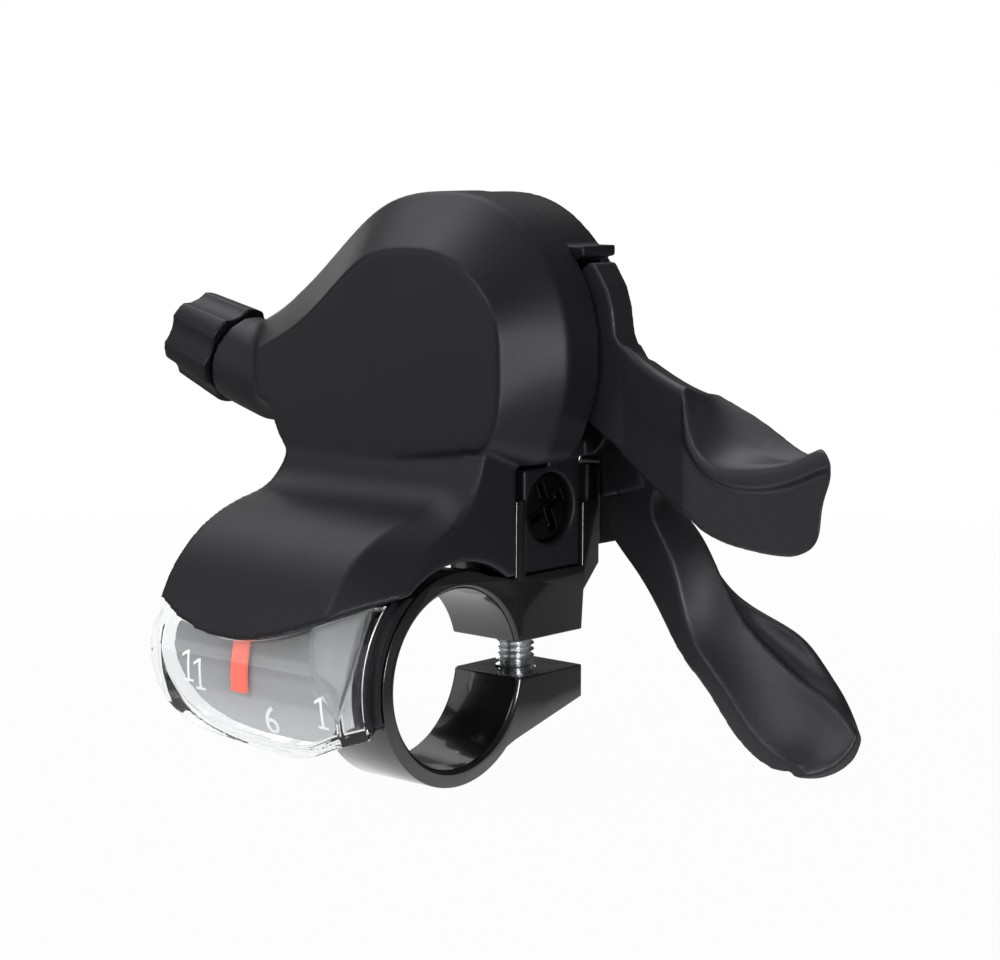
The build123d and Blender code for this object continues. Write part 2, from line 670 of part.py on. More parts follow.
# Dial case: black carrier behind the lens, with the bearing of the needle's shaft
bearing_w = 3 * SHAFT_D
hub_r = SHAFT_D / 2 + 0.5
hub_y = BEARING_Y0 - GAP
with BuildPart() as dial_case:
    add(tube_piece(LENS_LEFT, LENS_RIGHT, case_r, dial_r - DIAL_T, -24, 24))
    add(tube_piece(LENS_LEFT, LENS_RIGHT - 3, case_r, dial_r - DIAL_T, 24, 62))
    add(tube_piece(LENS_LEFT, LENS_RIGHT, case_r, lens_r - LENS_T, -24, -19))
    add(lens_block(LENS_T + GAP), mode=Mode.INTERSECT)
    add(case_end())
    add(tube_piece(
        NEEDLE_X - bearing_w / 2, NEEDLE_X + bearing_w / 2, case_r, dial_r - DIAL_T, 58, 90,
    ))
    with BuildSketch(at_y(BEARING_Y1)):
        with Locations((NEEDLE_X, case_r)):
            Rectangle(bearing_w, NEEDLE_Z + SHAFT_D / 2 + 0.4 - case_r, align=(Align.CENTER, Align.MIN))
    extrude(amount=BEARING_Y1 - BEARING_Y0)
    with BuildSketch(at_y(BEARING_Y1)):
        with Locations((NEEDLE_X, NEEDLE_Z)):
            Circle(SHAFT_D / 2 + SHAFT_GAP)
    extrude(amount=BEARING_Y1 - BEARING_Y0, mode=Mode.SUBTRACT)
    with BuildSketch(at_y(BEARING_Y0)):
        with Locations((NEEDLE_X, NEEDLE_Z)):
            Circle(hub_r + GAP)
    extrude(amount=NEEDLE_HUB_L + 2 * GAP, mode=Mode.SUBTRACT)
keep(dial_case, "dial_case")

# Dial: the printed scale on the case
with BuildPart() as dial_plate:
    add(tube_piece(LENS_LEFT, LENS_RIGHT - LENS_T, dial_r - DIAL_T, dial_r, -18.5, 34))
    add(lens_block(LENS_T + 2 * GAP), mode=Mode.INTERSECT)
keep(dial_plate, "dial_plate")

# Needle: a pointer bent round the bar, on its shaft
with BuildPart() as needle:
    add(tube_piece(
        NEEDLE_X - NEEDLE_W / 2, NEEDLE_X + NEEDLE_W / 2, needle_r, needle_r + NEEDLE_T,
        degrees(asin(NEEDLE_TIP / needle_r)), 84,
    ))
    with BuildSketch(at_y(hub_y)):
        with Locations((NEEDLE_X, NEEDLE_Z)):
            Circle(hub_r)
    extrude(amount=NEEDLE_HUB_L)
    with BuildSketch(at_y(hub_y)):
        with Locations((NEEDLE_X, NEEDLE_Z)):
            Circle(SHAFT_D / 2 - 0.4)
    extrude(amount=NEEDLE_HUB_L, mode=Mode.SUBTRACT)
keep(needle, "needle")

with BuildPart() as needle_shaft:
    with BuildSketch(at_y(GEAR_Y + GEAR_T)):
        with Locations((NEEDLE_X, NEEDLE_Z)):
            Circle(SHAFT_D / 2)
    extrude(amount=GEAR_Y + GEAR_T - hub_y)
    with BuildSketch(at_y(hub_y)):
        with Locations((NEEDLE_X, NEEDLE_Z)):
            Circle(SHAFT_D / 2 - 0.4)
    extrude(amount=NEEDLE_HUB_L)
keep(needle_shaft, "needle_shaft")


# Gears: involute teeth on a disc or on part of one
def tooth(teeth, centre_angle):
    """Outline of one involute tooth, from root to root, with the angle from +X towards +Z."""
    pitch_r = MODULE * teeth / 2
    base_r = pitch_r * cos(radians(20))
    half = pi / (2 * teeth) - BACKLASH / (2 * pitch_r)
    spread = tan(radians(20)) - radians(20)
    side = []
    for share in (0, 0.35, 0.7, 1):
        radius = pitch_r - 1.25 * MODULE + share * 2.2 * MODULE
        roll = acos(min(base_r / radius, 1))
        side.append((radius, half + spread - (tan(roll) - roll)))
    middle = radians(centre_angle)
    points = [(r, middle - w) for r, w in side] + [(r, middle + w) for r, w in reversed(side)]
    return [(r * cos(angle), r * sin(angle)) for r, angle in points]


mesh_angle = degrees(atan2(NEEDLE_Z - PIVOT_Z, NEEDLE_X - PIVOT_X))
spool_pitch = 360 / SPOOL_TEETH
sector_pitch = 360 / SECTOR_TEETH
gear_points = []
for i in range(SPOOL_TEETH):
    gear_points += tooth(SPOOL_TEETH, mesh_angle + i * spool_pitch)
with BuildPart() as spool_gear:
    with BuildSketch(at_y(GEAR_Y + GEAR_T)):
        with Locations((PIVOT_X, PIVOT_Z)):
            Polygon(*gear_points, align=None)
            Circle(AXLE_D / 2 + SHAFT_GAP, mode=Mode.SUBTRACT)
    extrude(amount=GEAR_T)
    with BuildSketch(at_y(SPOOL_Y)):
        with Locations((PIVOT_X, PIVOT_Z)):
            Circle(AXLE_D / 2 + 1.6)
            Circle(AXLE_D / 2 + SHAFT_GAP, mode=Mode.SUBTRACT)
    extrude(amount=SPOOL_Y - GEAR_Y)
keep(spool_gear, "spool_gear")

teeth_each_side = int(SECTOR_HALF / sector_pitch)
sector_points = [(0, 0)]
for i in range(-teeth_each_side, teeth_each_side):
    sector_points += tooth(SECTOR_TEETH, mesh_angle + 180 + (i + 0.5) * sector_pitch)
with BuildPart() as sector_gear:
    with BuildSketch(at_y(GEAR_Y + GEAR_T)):
        with Locations((NEEDLE_X, NEEDLE_Z)):
            Polygon(*sector_points, align=None)
            Circle(SHAFT_D / 2 + 1.4)
            Circle(SHAFT_D / 2, mode=Mode.SUBTRACT)
    extrude(amount=GEAR_T)
keep(sector_gear, "sector_gear")

# Spool: the cable drum on the axle
with BuildPart() as spool:
    with BuildSketch(Plane(origin=(PIVOT_X, 0, PIVOT_Z), x_dir=(1, 0, 0), z_dir=(0, 0, 1))):
        with BuildLine():
            Polyline(
                (AXLE_D / 2 + SHAFT_GAP, SPOOL_Y), (DRUM_R, SPOOL_Y), (DRUM_R, CABLE_Y - 1.6),
                (spool_r, CABLE_Y - 1.6), (spool_r, CABLE_Y - 0.9), (groove_r, CABLE_Y - 0.5),
                (groove_r, CABLE_Y + 0.5), (spool_r, CABLE_Y + 0.9), (spool_r, SPOOL_END_Y),
                (AXLE_D / 2 + SHAFT_GAP, SPOOL_END_Y), close=True,
            )
        make_face()
        with BuildLine():
            Polyline(
                (AXLE_D / 2 + 1.6, SPOOL_Y), (DRUM_R - 1.4, SPOOL_Y), (DRUM_R - 1.4, CABLE_Y - 1.8),
                (AXLE_D / 2 + 1.6, CABLE_Y - 1.8), close=True,
            )
        make_face(mode=Mode.SUBTRACT)
    revolve(axis=Axis((PIVOT_X, 0, PIVOT_Z), (0, 1, 0)))
keep(spool, "spool")

# Ratchet wheel on the spool
ratchet_pitch = 360 / RATCHET_TEETH
ratchet_points = []
for i in range(RATCHET_TEETH):
    for radius, share in ((ratchet_r - RATCHET_DEPTH, 0), (ratchet_r, 0.25), (ratchet_r, 0.4)):
        x, z = round_pivot(radius, (i + share) * ratchet_pitch)
        ratchet_points.append((x - PIVOT_X, z - PIVOT_Z))
with BuildPart() as ratchet_wheel:
    with BuildSketch(at_y(SPOOL_END_Y + RATCHET_T)):
        with Locations((PIVOT_X, PIVOT_Z)):
            Polygon(*ratchet_points, align=None)
            Circle(AXLE_D / 2 + SHAFT_GAP, mode=Mode.SUBTRACT)
    extrude(amount=RATCHET_T)
keep(ratchet_wheel, "ratchet_wheel")

# Axle with its collar, washer and nut
collar_y = SPOOL_END_Y + RATCHET_T + GAP
thumb_y = case_back + BASE_T + GAP
washer_y = thumb_y + THUMB_HUB_T + GAP
with BuildPart() as lever_axle:
    with BuildSketch(at_y(washer_y + WASHER_T + NUT_H + 1)):
        with Locations((PIVOT_X, PIVOT_Z)):
            Circle(AXLE_D / 2)
    extrude(amount=washer_y + WASHER_T + NUT_H + 1 - PANEL_Y - COVER_T)
    with BuildSketch(at_y(SEAM_Y)):
        with Locations((PIVOT_X, PIVOT_Z)):
            Circle(COLLAR_D / 2)
    extrude(amount=SEAM_Y - collar_y)
keep(lever_axle, "lever_axle")

with BuildPart() as axle_washer:
    with BuildSketch(at_y(washer_y + WASHER_T)):
        with Locations((PIVOT_X, PIVOT_Z)):
            Circle(WASHER_D / 2)
            Circle(AXLE_D / 2 + SEAT_GAP, mode=Mode.SUBTRACT)
    extrude(amount=WASHER_T)
keep(axle_washer, "axle_washer")

with BuildPart() as axle_nut:
    with BuildSketch(at_y(washer_y + WASHER_T + NUT_H)):
        with Locations((PIVOT_X, PIVOT_Z)):
            RegularPolygon(NUT_AF / 2, 6, major_radius=False)
            Circle(AXLE_D / 2 + SHAFT_GAP, mode=Mode.SUBTRACT)
    extrude(amount=NUT_H)
    chamfer(axle_nut.faces().sort_by(Axis.Y)[-1].outer_wire().edges(), 0.5)
keep(axle_nut, "axle_nut")

# Cover screws
for number, (x, z) in enumerate(cover_screws_at, 1):
    with BuildPart() as cover_screw:
        with Locations(Plane(origin=(x, case_back, z), z_dir=(0, -1, 0))):
            Cylinder(COVER_HEAD_D / 2, COVER_HEAD_H, align=(Align.CENTER, Align.CENTER, Align.MIN))
            Cylinder(
                COVER_SCREW_D / 2 - SHAFT_GAP, CASE_D + COVER_SCREW_L - 1,
                align=(Align.CENTER, Align.CENTER, Align.MIN),
            )
            Box(0.6 * COVER_HEAD_D, 0.7, COVER_HEAD_H, mode=Mode.SUBTRACT)
            Box(0.7, 0.6 * COVER_HEAD_D, COVER_HEAD_H, mode=Mode.SUBTRACT)
    keep(cover_screw, f"cover_screw_{number}")


# Barrel adjuster: lobed knob with its threaded stem and the seat for the cable's casing
def knob_face(distance, diameter):
    """Cross-section of the knob, with a groove between each two lobes."""
    with BuildSketch(cable.offset(distance)) as section:
        Circle(diameter / 2)
        with PolarLocations(diameter / 2 + KNOB_GROOVE_R - KNOB_GROOVE_DEPTH, KNOB_LOBES, start_angle=10):
            Circle(KNOB_GROOVE_R, mode=Mode.SUBTRACT)
    return section.sketch.face()


knob_end = KNOB_START + KNOB_L
with BuildPart() as barrel_adjuster:
    loft([knob_face(KNOB_START, KNOB_D), knob_face(knob_end, KNOB_END_D)], ruled=True)
    with BuildSketch(cable.offset(KNOB_START)):
        Circle(STEM_D / 2)
    extrude(amount=-STEM_L)
    with BuildSketch(cable.offset(knob_end)):
        Circle(CASING_D / 2)
    extrude(amount=-CASING_DEPTH, mode=Mode.SUBTRACT)
    with BuildSketch(cable.offset(knob_end)):
        Circle(WIRE_D / 2)
    extrude(amount=-KNOB_L - STEM_L, mode=Mode.SUBTRACT)
keep(barrel_adjuster, "barrel_adjuster")


# Coil springs: round wire along a helix
def coil(base, radius, wire, length, turns):
    """Coil that starts at the base plane and runs along its normal."""
    path = Helix(
        pitch=length / turns, height=length, radius=radius, center=base.origin, direction=base.z_dir,
    )
    with BuildPart() as spring:
        with BuildSketch(Plane(origin=path @ 0, z_dir=path % 0)):
            Circle(wire / 2)
        sweep(path=path)
    return spring


def on_axle(y):
    """Plane across the lever axle, centred on it, with its normal along +Y."""
    return Plane(origin=(PIVOT_X, y, PIVOT_Z), x_dir=(1, 0, 0), z_dir=(0, 1, 0))


recess_r0 = AXLE_D / 2 + RECESS_WALL
spool_spring = coil(on_axle(SPOOL_Y + 0.7), (recess_r0 + DRUM_R - 1.4) / 2, SPRING_WIRE, 1.2, 1.2)
keep(spool_spring, "spool_spring")
adjuster_spring = coil(
    cable.offset(-SPRING_POCKET_L + SPRING_WIRE), (STEM_D + SPRING_POCKET_D) / 4, SPRING_WIRE, 2.4,
    SPRING_TURNS,
)
keep(adjuster_spring, "adjuster_spring")

# Pawls: the feed pawl rides on the thumb lever's pin, the hold pawl on the case's post
pawl_y = SPOOL_END_Y + RATCHET_T - 0.1


def pawl(angle, lead):
    """Eye round a pin at the angle, with a nose just clear of the ratchet wheel at the angle plus lead."""
    eye = round_pivot(pawl_r, angle)
    eye_r = PAWL_PIN_D / 2 + 1.0
    with BuildPart() as piece:
        with BuildSketch(at_y(pawl_y)):
            with Locations(eye):
                Circle(eye_r)
            with BuildLine():
                Polyline(
                    round_pivot(pawl_r + 0.8 * eye_r, angle + 0.15 * lead),
                    round_pivot(ratchet_r + GAP, angle + lead),
                    round_pivot(pawl_r - 0.8 * eye_r, angle + 0.2 * lead),
                    close=True,
                )
            make_face()
            with Locations(eye):
                Circle(PAWL_PIN_D / 2 + SHAFT_GAP, mode=Mode.SUBTRACT)
        extrude(amount=PAWL_T)
    return piece


feed_pawl = pawl(PAWL_ANGLE, PAWL_LEAD)
keep(feed_pawl, "feed_pawl")
hold_pawl = pawl(HOLD_ANGLE, PAWL_LEAD)
keep(hold_pawl, "hold_pawl")
with BuildPart() as feed_pawl_pin:
    with BuildSketch(at_y(thumb_y + THUMB_HUB_T)):
        with Locations(round_pivot(pawl_r, PAWL_ANGLE)):
            Circle(PAWL_PIN_D / 2)
    extrude(amount=thumb_y + THUMB_HUB_T - SPOOL_END_Y)
keep(feed_pawl_pin, "feed_pawl_pin")

# Release lever: plate on the axle, arm out of the case and a dished paddle
release_y = SEAM_Y + GAP
release_back = release_y + RELEASE_T
release_hub_r = COLLAR_D / 2 + 2


def flat(y, points):
    """Face with straight edges across the lever axle."""
    with BuildSketch(at_y(y)) as sketch:
        Polygon(*points, align=None)
    return sketch.sketch.face()


def paddle_section(x, front_y, low, lip_low, lip_high, overhang, dish, top, back_y):
    """Face across the paddle: front, lip, dish and rolled top; the back closes it."""
    lip_y = front_y - overhang
    with BuildSketch(at_x(x)) as section:
        Polygon(
            (front_y, low), (front_y, lip_low - LIP_ROUND), (lip_y, lip_low), (lip_y, lip_high - LIP_ROUND),
            (lip_y + LIP_ROUND, lip_high), dish, top, (back_y, top[1] - TOP_ROLL), (back_y, low),
            align=None,
        )
    return section.sketch.face()


with BuildPart() as release_lever:
    with BuildSketch(at_y(release_back)):
        with Locations((PIVOT_X, PIVOT_Z)):
            Circle(release_hub_r)
        with BuildLine():
            Polyline(
                (PIVOT_X + 3, PIVOT_Z + 6), (PIVOT_X + 15.3, PIVOT_Z + 10.1),
                (PIVOT_X + 17.2, SLOT_TOP - GAP), (PIVOT_X + 18.3, SLOT_TOP - GAP),
                (PIVOT_X + 20.2, 47.3), (PIVOT_X + 21.0, 44.9), (PIVOT_X + 21.5, 41.6),
                (PIVOT_X + 22.4, 39.6), (PIVOT_X + 24, 37.6), (PIVOT_X + 26, 36.2), (PIVOT_X + 26, 24.8),
                (PIVOT_X + 18, 30),
                (PIVOT_X + 13, 33), (PIVOT_X + 4, 34.6), close=True,
            )
        make_face()
    extrude(amount=RELEASE_T)
    front = [
        (PIVOT_X + ARM_START, 43.2), (16.3, 40.7), (19.5, 38.6), (20.5, 24.6), (16.6, 26.6),
        (PIVOT_X + ARM_START - 0.6, 34.0),
    ]
    back = [
        (PIVOT_X + ARM_START, 39.8), (16.6, 36.9), (19.5, 34.8), (20.5, 24.6), (16.6, 26.6),
        (PIVOT_X + ARM_START - 0.6, 34.0),
    ]
    loft([flat(ARM_BACK, back), flat(release_y, front)], ruled=True)
    arm_end = paddle_section(28.0, 14.8, 21.0, 30.5, 36.1, 0.1, (17.5, 35.4), (21.0, 34.7), 22.8)
    loft([
        paddle_section(17.0, 17.3, 26.4, 34.0, 40.3, 0.05, (19.5, 39.4), (23.4, 38.0), 23.9),
        paddle_section(22.5, 16.4, 23.2, 31.0, 37.6, 0.05, (19.0, 36.9), (23.0, 35.6), 23.9),
        arm_end,
    ])
    loft([
        arm_end,
        paddle_section(30.2, 14.6, 19.6, 28.0, 30.6, 1.0, (17.0, 33.0), (20.5, 34.5), 22.2),
        paddle_section(33.0, 14.6, 18.4, 26.0, 28.0, 1.1, (17.0, 30.4), (20.3, 33.5), 21.8),
        paddle_section(37.0, 14.6, 17.6, 25.2, 27.6, 1.1, (17.0, 29.0), (20.0, 31.8), 21.4),
        paddle_section(41.0, 14.7, 17.3, 25.5, 28.1, 1.2, (16.8, 28.3), (19.5, 29.8), 20.8),
        paddle_section(45.0, 15.0, 17.4, 26.7, 29.2, 1.4, (16.4, 28.6), (18.6, 29.1), 19.8),
        paddle_section(51.0, 15.2, 17.6, 28.2, 30.2, 1.4, (15.8, 29.6), (17.2, 29.4), 18.4),
    ])
    with BuildSketch(at_y(PADDLE_FRONT)):
        with BuildLine():
            Spline(
                (43.8, 17.1), (46.0, 17.6), (48.0, 18.6), (49.0, 20.2), (49.3, 22.4), (49.8, 24.8),
                (50.5, 27.0), (50.3, 28.8), (48.6, 30.8),
            )
            Polyline((48.6, 30.8), (48.6, 33), (56, 33), (56, 15), (43.8, 15), (43.8, 17.1))
        make_face()
    extrude(amount=ARM_BACK - PADDLE_FRONT, dir=PADDLE_SLANT, mode=Mode.SUBTRACT)
    with Locations(on_axle(release_y)):
        Hole(AXLE_D / 2 + SHAFT_GAP, depth=RELEASE_T)
    with BuildSketch(on_axle(release_y)):
        Circle(release_hub_r - RELEASE_HUB_WALL)
        Circle(recess_r0, mode=Mode.SUBTRACT)
    extrude(amount=RELEASE_T - RECESS_FLOOR, mode=Mode.SUBTRACT)
keep(release_lever, "release_lever")
release_spring = coil(
    on_axle(release_y + SPRING_SEAT), (recess_r0 + release_hub_r - RELEASE_HUB_WALL) / 2,
    0.8 * SPRING_WIRE, RELEASE_T - RECESS_FLOOR - SPRING_PLAY, SPRING_TURNS,
)
keep(release_spring, "release_spring")


# Thumb lever: hub behind the base plate, arm down and a twisted paddle with a raised wing
def thumb_section(x, z, heading, front_t, crease, dip, wing, under):
    """Face across the lever from its front ridge at x, z: crease, dip, wing, rim and underside."""
    turn = radians(heading)
    across = Plane(
        origin=(x, thumb_y + GAP, z), x_dir=(0, 1, 0), z_dir=(cos(turn), 0, sin(turn)),
    )
    hollow = (crease[0] / 2, THUMB_HOLLOW * crease[1])
    rim = (wing[0] + WING_RIM, wing[1] - 0.4 * WING_RIM)
    under = (under[0] + WING_RIM, under[1])
    belly = (under[0] / 2, (under[1] - front_t) / 2 - THUMB_BELLY)
    with BuildSketch(across) as section:
        with BuildLine():
            Spline((0, 0), hollow, crease)
            Spline(crease, dip, wing)
            Polyline(wing, rim, under)
            Spline(under, belly, (0, -front_t))
            Line((0, -front_t), (0, 0))
        make_face()
    return section.sketch.face()


with BuildPart() as thumb_lever:
    loft([
        thumb_section(13.1, 24.9, -75, 6.6, (4.6, -0.4), (5.2, -0.9), (5.6, -1.6), (5.6, -6.4)),
        thumb_section(15.2, 19.6, -70, 7.2, (4.8, -0.2), (5.5, -0.8), (6.1, -1.6), (6.1, -6.4)),
        thumb_section(17.5, 14.6, -68, 6.6, (5.0, 2.1), (5.9, 1.2), (6.6, 0.2), (6.6, -5.4)),
        thumb_section(20.0, 7.6, -66, 4.0, (5.0, 3.8), (6.1, 2.6), (7.4, 2.4), (7.6, -2.4)),
        thumb_section(22.2, 2.6, -60, 2.9, (5.0, 5.1), (6.1, 4.2), (8.0, 6.4), (8.4, 2.4)),
        thumb_section(26.4, -1.9, -49, 2.6, (5.0, 5.7), (6.1, 5.2), (8.6, 8.1), (9.0, 4.2)),
        thumb_section(30.5, -6.6, -44, 2.5, (5.0, 7.4), (6.2, 7.0), (8.6, 8.5), (9.0, 4.8)),
        thumb_section(34.5, -9.3, -35, 2.2, (5.0, 7.9), (6.2, 7.4), (8.2, 7.6), (8.6, 4.2)),
        thumb_section(37.5, -10.0, -49, 1.8, (4.7, 6.8), (5.9, 6.3), (7.7, 5.0), (7.9, 2.2)),
        thumb_section(39.7, -12.6, -49, 1.6, (4.6, 6.6), (5.8, 6.0), (7.6, 4.6), (7.8, 1.8)),
    ])
    end_turn = radians(THUMB_END_HEADING)
    end_plane = Plane(
        origin=THUMB_END_AT, x_dir=(cos(end_turn), 0, sin(end_turn)), z_dir=THUMB_FACE,
    )
    with BuildSketch(end_plane):
        Rectangle(2 * THUMB_END_R, 2 * THUMB_END_R, align=(Align.MIN, Align.CENTER))
        Circle(THUMB_END_R, mode=Mode.SUBTRACT)
    extrude(amount=2 * THUMB_END_R, both=True, mode=Mode.SUBTRACT)
    with BuildSketch(on_axle(thumb_y)):
        Circle(THUMB_HUB_R)
    extrude(amount=THUMB_HUB_T)
    with BuildSketch(at_y(thumb_y + THUMB_HUB_T)):
        with BuildLine():
            Polyline(
                round_pivot(THUMB_HUB_R, 30), (12.6, 27.2), (13.6, 22.0), (7.2, 20.0), (6.6, 25.0),
                (-2.0, 29.9), round_pivot(THUMB_HUB_R, 250), (PIVOT_X, PIVOT_Z), close=True,
            )
        make_face()
        with Locations(round_pivot(pawl_r, PAWL_ANGLE)):
            Circle(PAWL_PIN_D)
        with BuildLine():
            Polyline(
                (PIVOT_X, PIVOT_Z), round_pivot(pawl_r, PAWL_ANGLE - 8),
                round_pivot(pawl_r, PAWL_ANGLE + 8), close=True,
            )
        make_face()
    extrude(amount=THUMB_HUB_T)
    with Locations(on_axle(thumb_y)):
        Hole(AXLE_D / 2 + SHAFT_GAP, depth=THUMB_HUB_T)
    with BuildSketch(at_y(thumb_y + THUMB_HUB_T)):
        with Locations(round_pivot(pawl_r, PAWL_ANGLE)):
            Circle(PAWL_PIN_D / 2)
    extrude(amount=THUMB_HUB_T, mode=Mode.SUBTRACT)
    with BuildSketch(on_axle(thumb_y)):
        Circle(THUMB_HUB_R - THUMB_HUB_WALL)
        Circle(recess_r0, mode=Mode.SUBTRACT)
    extrude(amount=THUMB_HUB_T - RECESS_FLOOR, mode=Mode.SUBTRACT)
keep(thumb_lever, "thumb_lever")
thumb_spring = coil(
    on_axle(thumb_y + SPRING_SEAT), (recess_r0 + THUMB_HUB_R - THUMB_HUB_WALL) / 2,
    SPRING_WIRE, THUMB_HUB_T - RECESS_FLOOR - SPRING_PLAY, SPRING_TURNS,
)
keep(thumb_spring, "thumb_spring")
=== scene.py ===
# %% [markdown]
# A trigger gear shifter sits on the handlebar, next to the grip. A cover, a hooded gear display and a
# clamp make its body, and two levers stick out to the right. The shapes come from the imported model, and
# this lesson gives each of them its rounded edges, its moulded grain, its paint and its light.

# %% Load the model
import math

import bpy
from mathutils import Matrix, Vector


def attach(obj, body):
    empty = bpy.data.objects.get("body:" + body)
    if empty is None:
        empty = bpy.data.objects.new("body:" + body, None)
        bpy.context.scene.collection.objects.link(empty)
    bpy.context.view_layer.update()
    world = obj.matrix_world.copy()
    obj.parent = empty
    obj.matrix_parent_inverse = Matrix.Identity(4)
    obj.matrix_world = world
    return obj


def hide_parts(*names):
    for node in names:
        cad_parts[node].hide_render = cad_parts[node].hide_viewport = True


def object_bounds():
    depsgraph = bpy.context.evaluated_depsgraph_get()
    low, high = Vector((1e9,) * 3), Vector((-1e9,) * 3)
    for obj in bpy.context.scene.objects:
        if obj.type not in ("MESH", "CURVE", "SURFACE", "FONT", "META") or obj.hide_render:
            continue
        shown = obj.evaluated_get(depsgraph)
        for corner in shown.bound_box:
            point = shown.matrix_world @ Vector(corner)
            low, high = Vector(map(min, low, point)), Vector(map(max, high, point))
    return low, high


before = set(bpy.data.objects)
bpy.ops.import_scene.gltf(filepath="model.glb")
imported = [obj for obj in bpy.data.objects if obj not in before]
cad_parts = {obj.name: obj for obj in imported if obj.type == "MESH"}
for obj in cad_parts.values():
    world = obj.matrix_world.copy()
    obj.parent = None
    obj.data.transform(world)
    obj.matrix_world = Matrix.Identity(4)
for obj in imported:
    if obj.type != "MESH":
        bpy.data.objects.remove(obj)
cad_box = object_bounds()
print("pieces in the model:", len(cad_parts))

# %% [markdown]
# Every step below works on one object at a time, as a person at the screen would. Operators act on all
# that is selected, so the first helper selects one object and nothing else. The second one adds a
# modifier with its settings and applies it at once.

# %% Helpers for one object at a time
MM = 0.001


def pick(piece):
    """Leave one object selected and active."""
    bpy.ops.object.select_all(action="DESELECT")
    piece.select_set(True)
    bpy.context.view_layer.objects.active = piece


def apply_modifier(piece, kind, **settings):
    """Add a modifier with its settings and apply it."""
    pick(piece)
    modifier = piece.modifiers.new(kind.lower(), kind)
    for name, value in settings.items():
        setattr(modifier, name, value)
    bpy.ops.object.modifier_apply(modifier=modifier.name)


# %% [markdown]
# A node of the model is a mesh of loose triangles. A copy of it is merged into one skin first, because
# every tool that rounds an edge has to know which faces meet there.

# %% Copy a node as a new piece
MERGE = 0.01 * MM


def copy_node(node, name):
    """Copy a node of the model as a new piece with its loose triangles merged."""
    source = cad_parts[node]
    piece = source.copy()
    piece.data = source.data.copy()
    piece.name = name
    piece.parent = None
    bpy.context.scene.collection.objects.link(piece)
    pick(piece)
    bpy.ops.object.mode_set(mode="EDIT")
    bpy.ops.mesh.select_all(action="SELECT")
    bpy.ops.mesh.remove_doubles(threshold=MERGE)
    bpy.ops.mesh.fill_holes(sides=0)
    bpy.ops.mesh.normals_make_consistent(inside=False)
    bpy.ops.object.mode_set(mode="OBJECT")
    return piece


def stand_for(piece, node, body, finish):
    """Let a piece stand for a node, move with its body and take a finish."""
    piece.data.materials.clear()
    piece.data.materials.append(finish)
    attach(piece, body)
    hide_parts(node)


# %% [markdown]
# A moulding has no sharp edge. An even net of small faces, smoothed a few rounds, rounds all its edges
# alike. Where the real piece flows more softly, such as the root of a neck or the face of a paddle, more
# rounds act there alone, with a weight from 0 to 1 at each point.

# %% Round the edges of a moulding
SMOOTH_STEP = 0.5


def soften(piece, voxel, rounds):
    """Turn sharp moulded edges round: an even net of faces, sized in millimetres, then smoothing."""
    apply_modifier(piece, "REMESH", mode="VOXEL", voxel_size=voxel * MM, adaptivity=0.0)
    apply_modifier(piece, "SMOOTH", factor=SMOOTH_STEP, iterations=rounds)
    pick(piece)
    bpy.ops.object.shade_smooth()
    print(piece.name, "faces:", len(piece.data.polygons))


def smooth_where(piece, weight, rounds):
    """Smooth a piece by the weight that a function gives for a place in millimetres."""
    group = piece.vertex_groups.new(name="weight")
    for vertex in piece.data.vertices:
        share = min(max(weight(*(vertex.co / MM)), 0), 1)
        if share > 0:
            group.add([vertex.index], share, "REPLACE")
    apply_modifier(
        piece, "SMOOTH", factor=SMOOTH_STEP, iterations=rounds, vertex_group=group.name,
    )
    piece.vertex_groups.clear()


# %% [markdown]
# Painted and machined metal keeps its edges. They only get a narrow bevel, which is what catches the
# light along a rim. Faces that lie in one plane are joined first, so that the bevel meets real edges
# only.

# %% Break crisp edges
FLAT_ANGLE = math.radians(1)
EDGE_ANGLE = math.radians(35)


def break_edges(piece, width, segments=3):
    """Give the crisp edges of a piece a small round of a width in millimetres."""
    pick(piece)
    bpy.ops.object.mode_set(mode="EDIT")
    bpy.ops.mesh.select_all(action="SELECT")
    bpy.ops.mesh.dissolve_limited(angle_limit=FLAT_ANGLE)
    bpy.ops.object.mode_set(mode="OBJECT")
    apply_modifier(
        piece, "BEVEL", width=width * MM, segments=segments, limit_method="ANGLE",
        angle_limit=EDGE_ANGLE, use_clamp_overlap=True,
    )
    pick(piece)
    bpy.ops.object.shade_smooth_by_angle(angle=EDGE_ANGLE)
    print(piece.name, "faces:", len(piece.data.polygons))


# %% [markdown]
# A finish is a small net of nodes. The class below wraps one socket, so that plain sums such as
# `1 - mask` add the Math nodes by themselves. Its `node` method makes any other node: settings first,
# then the values or links of its sockets.

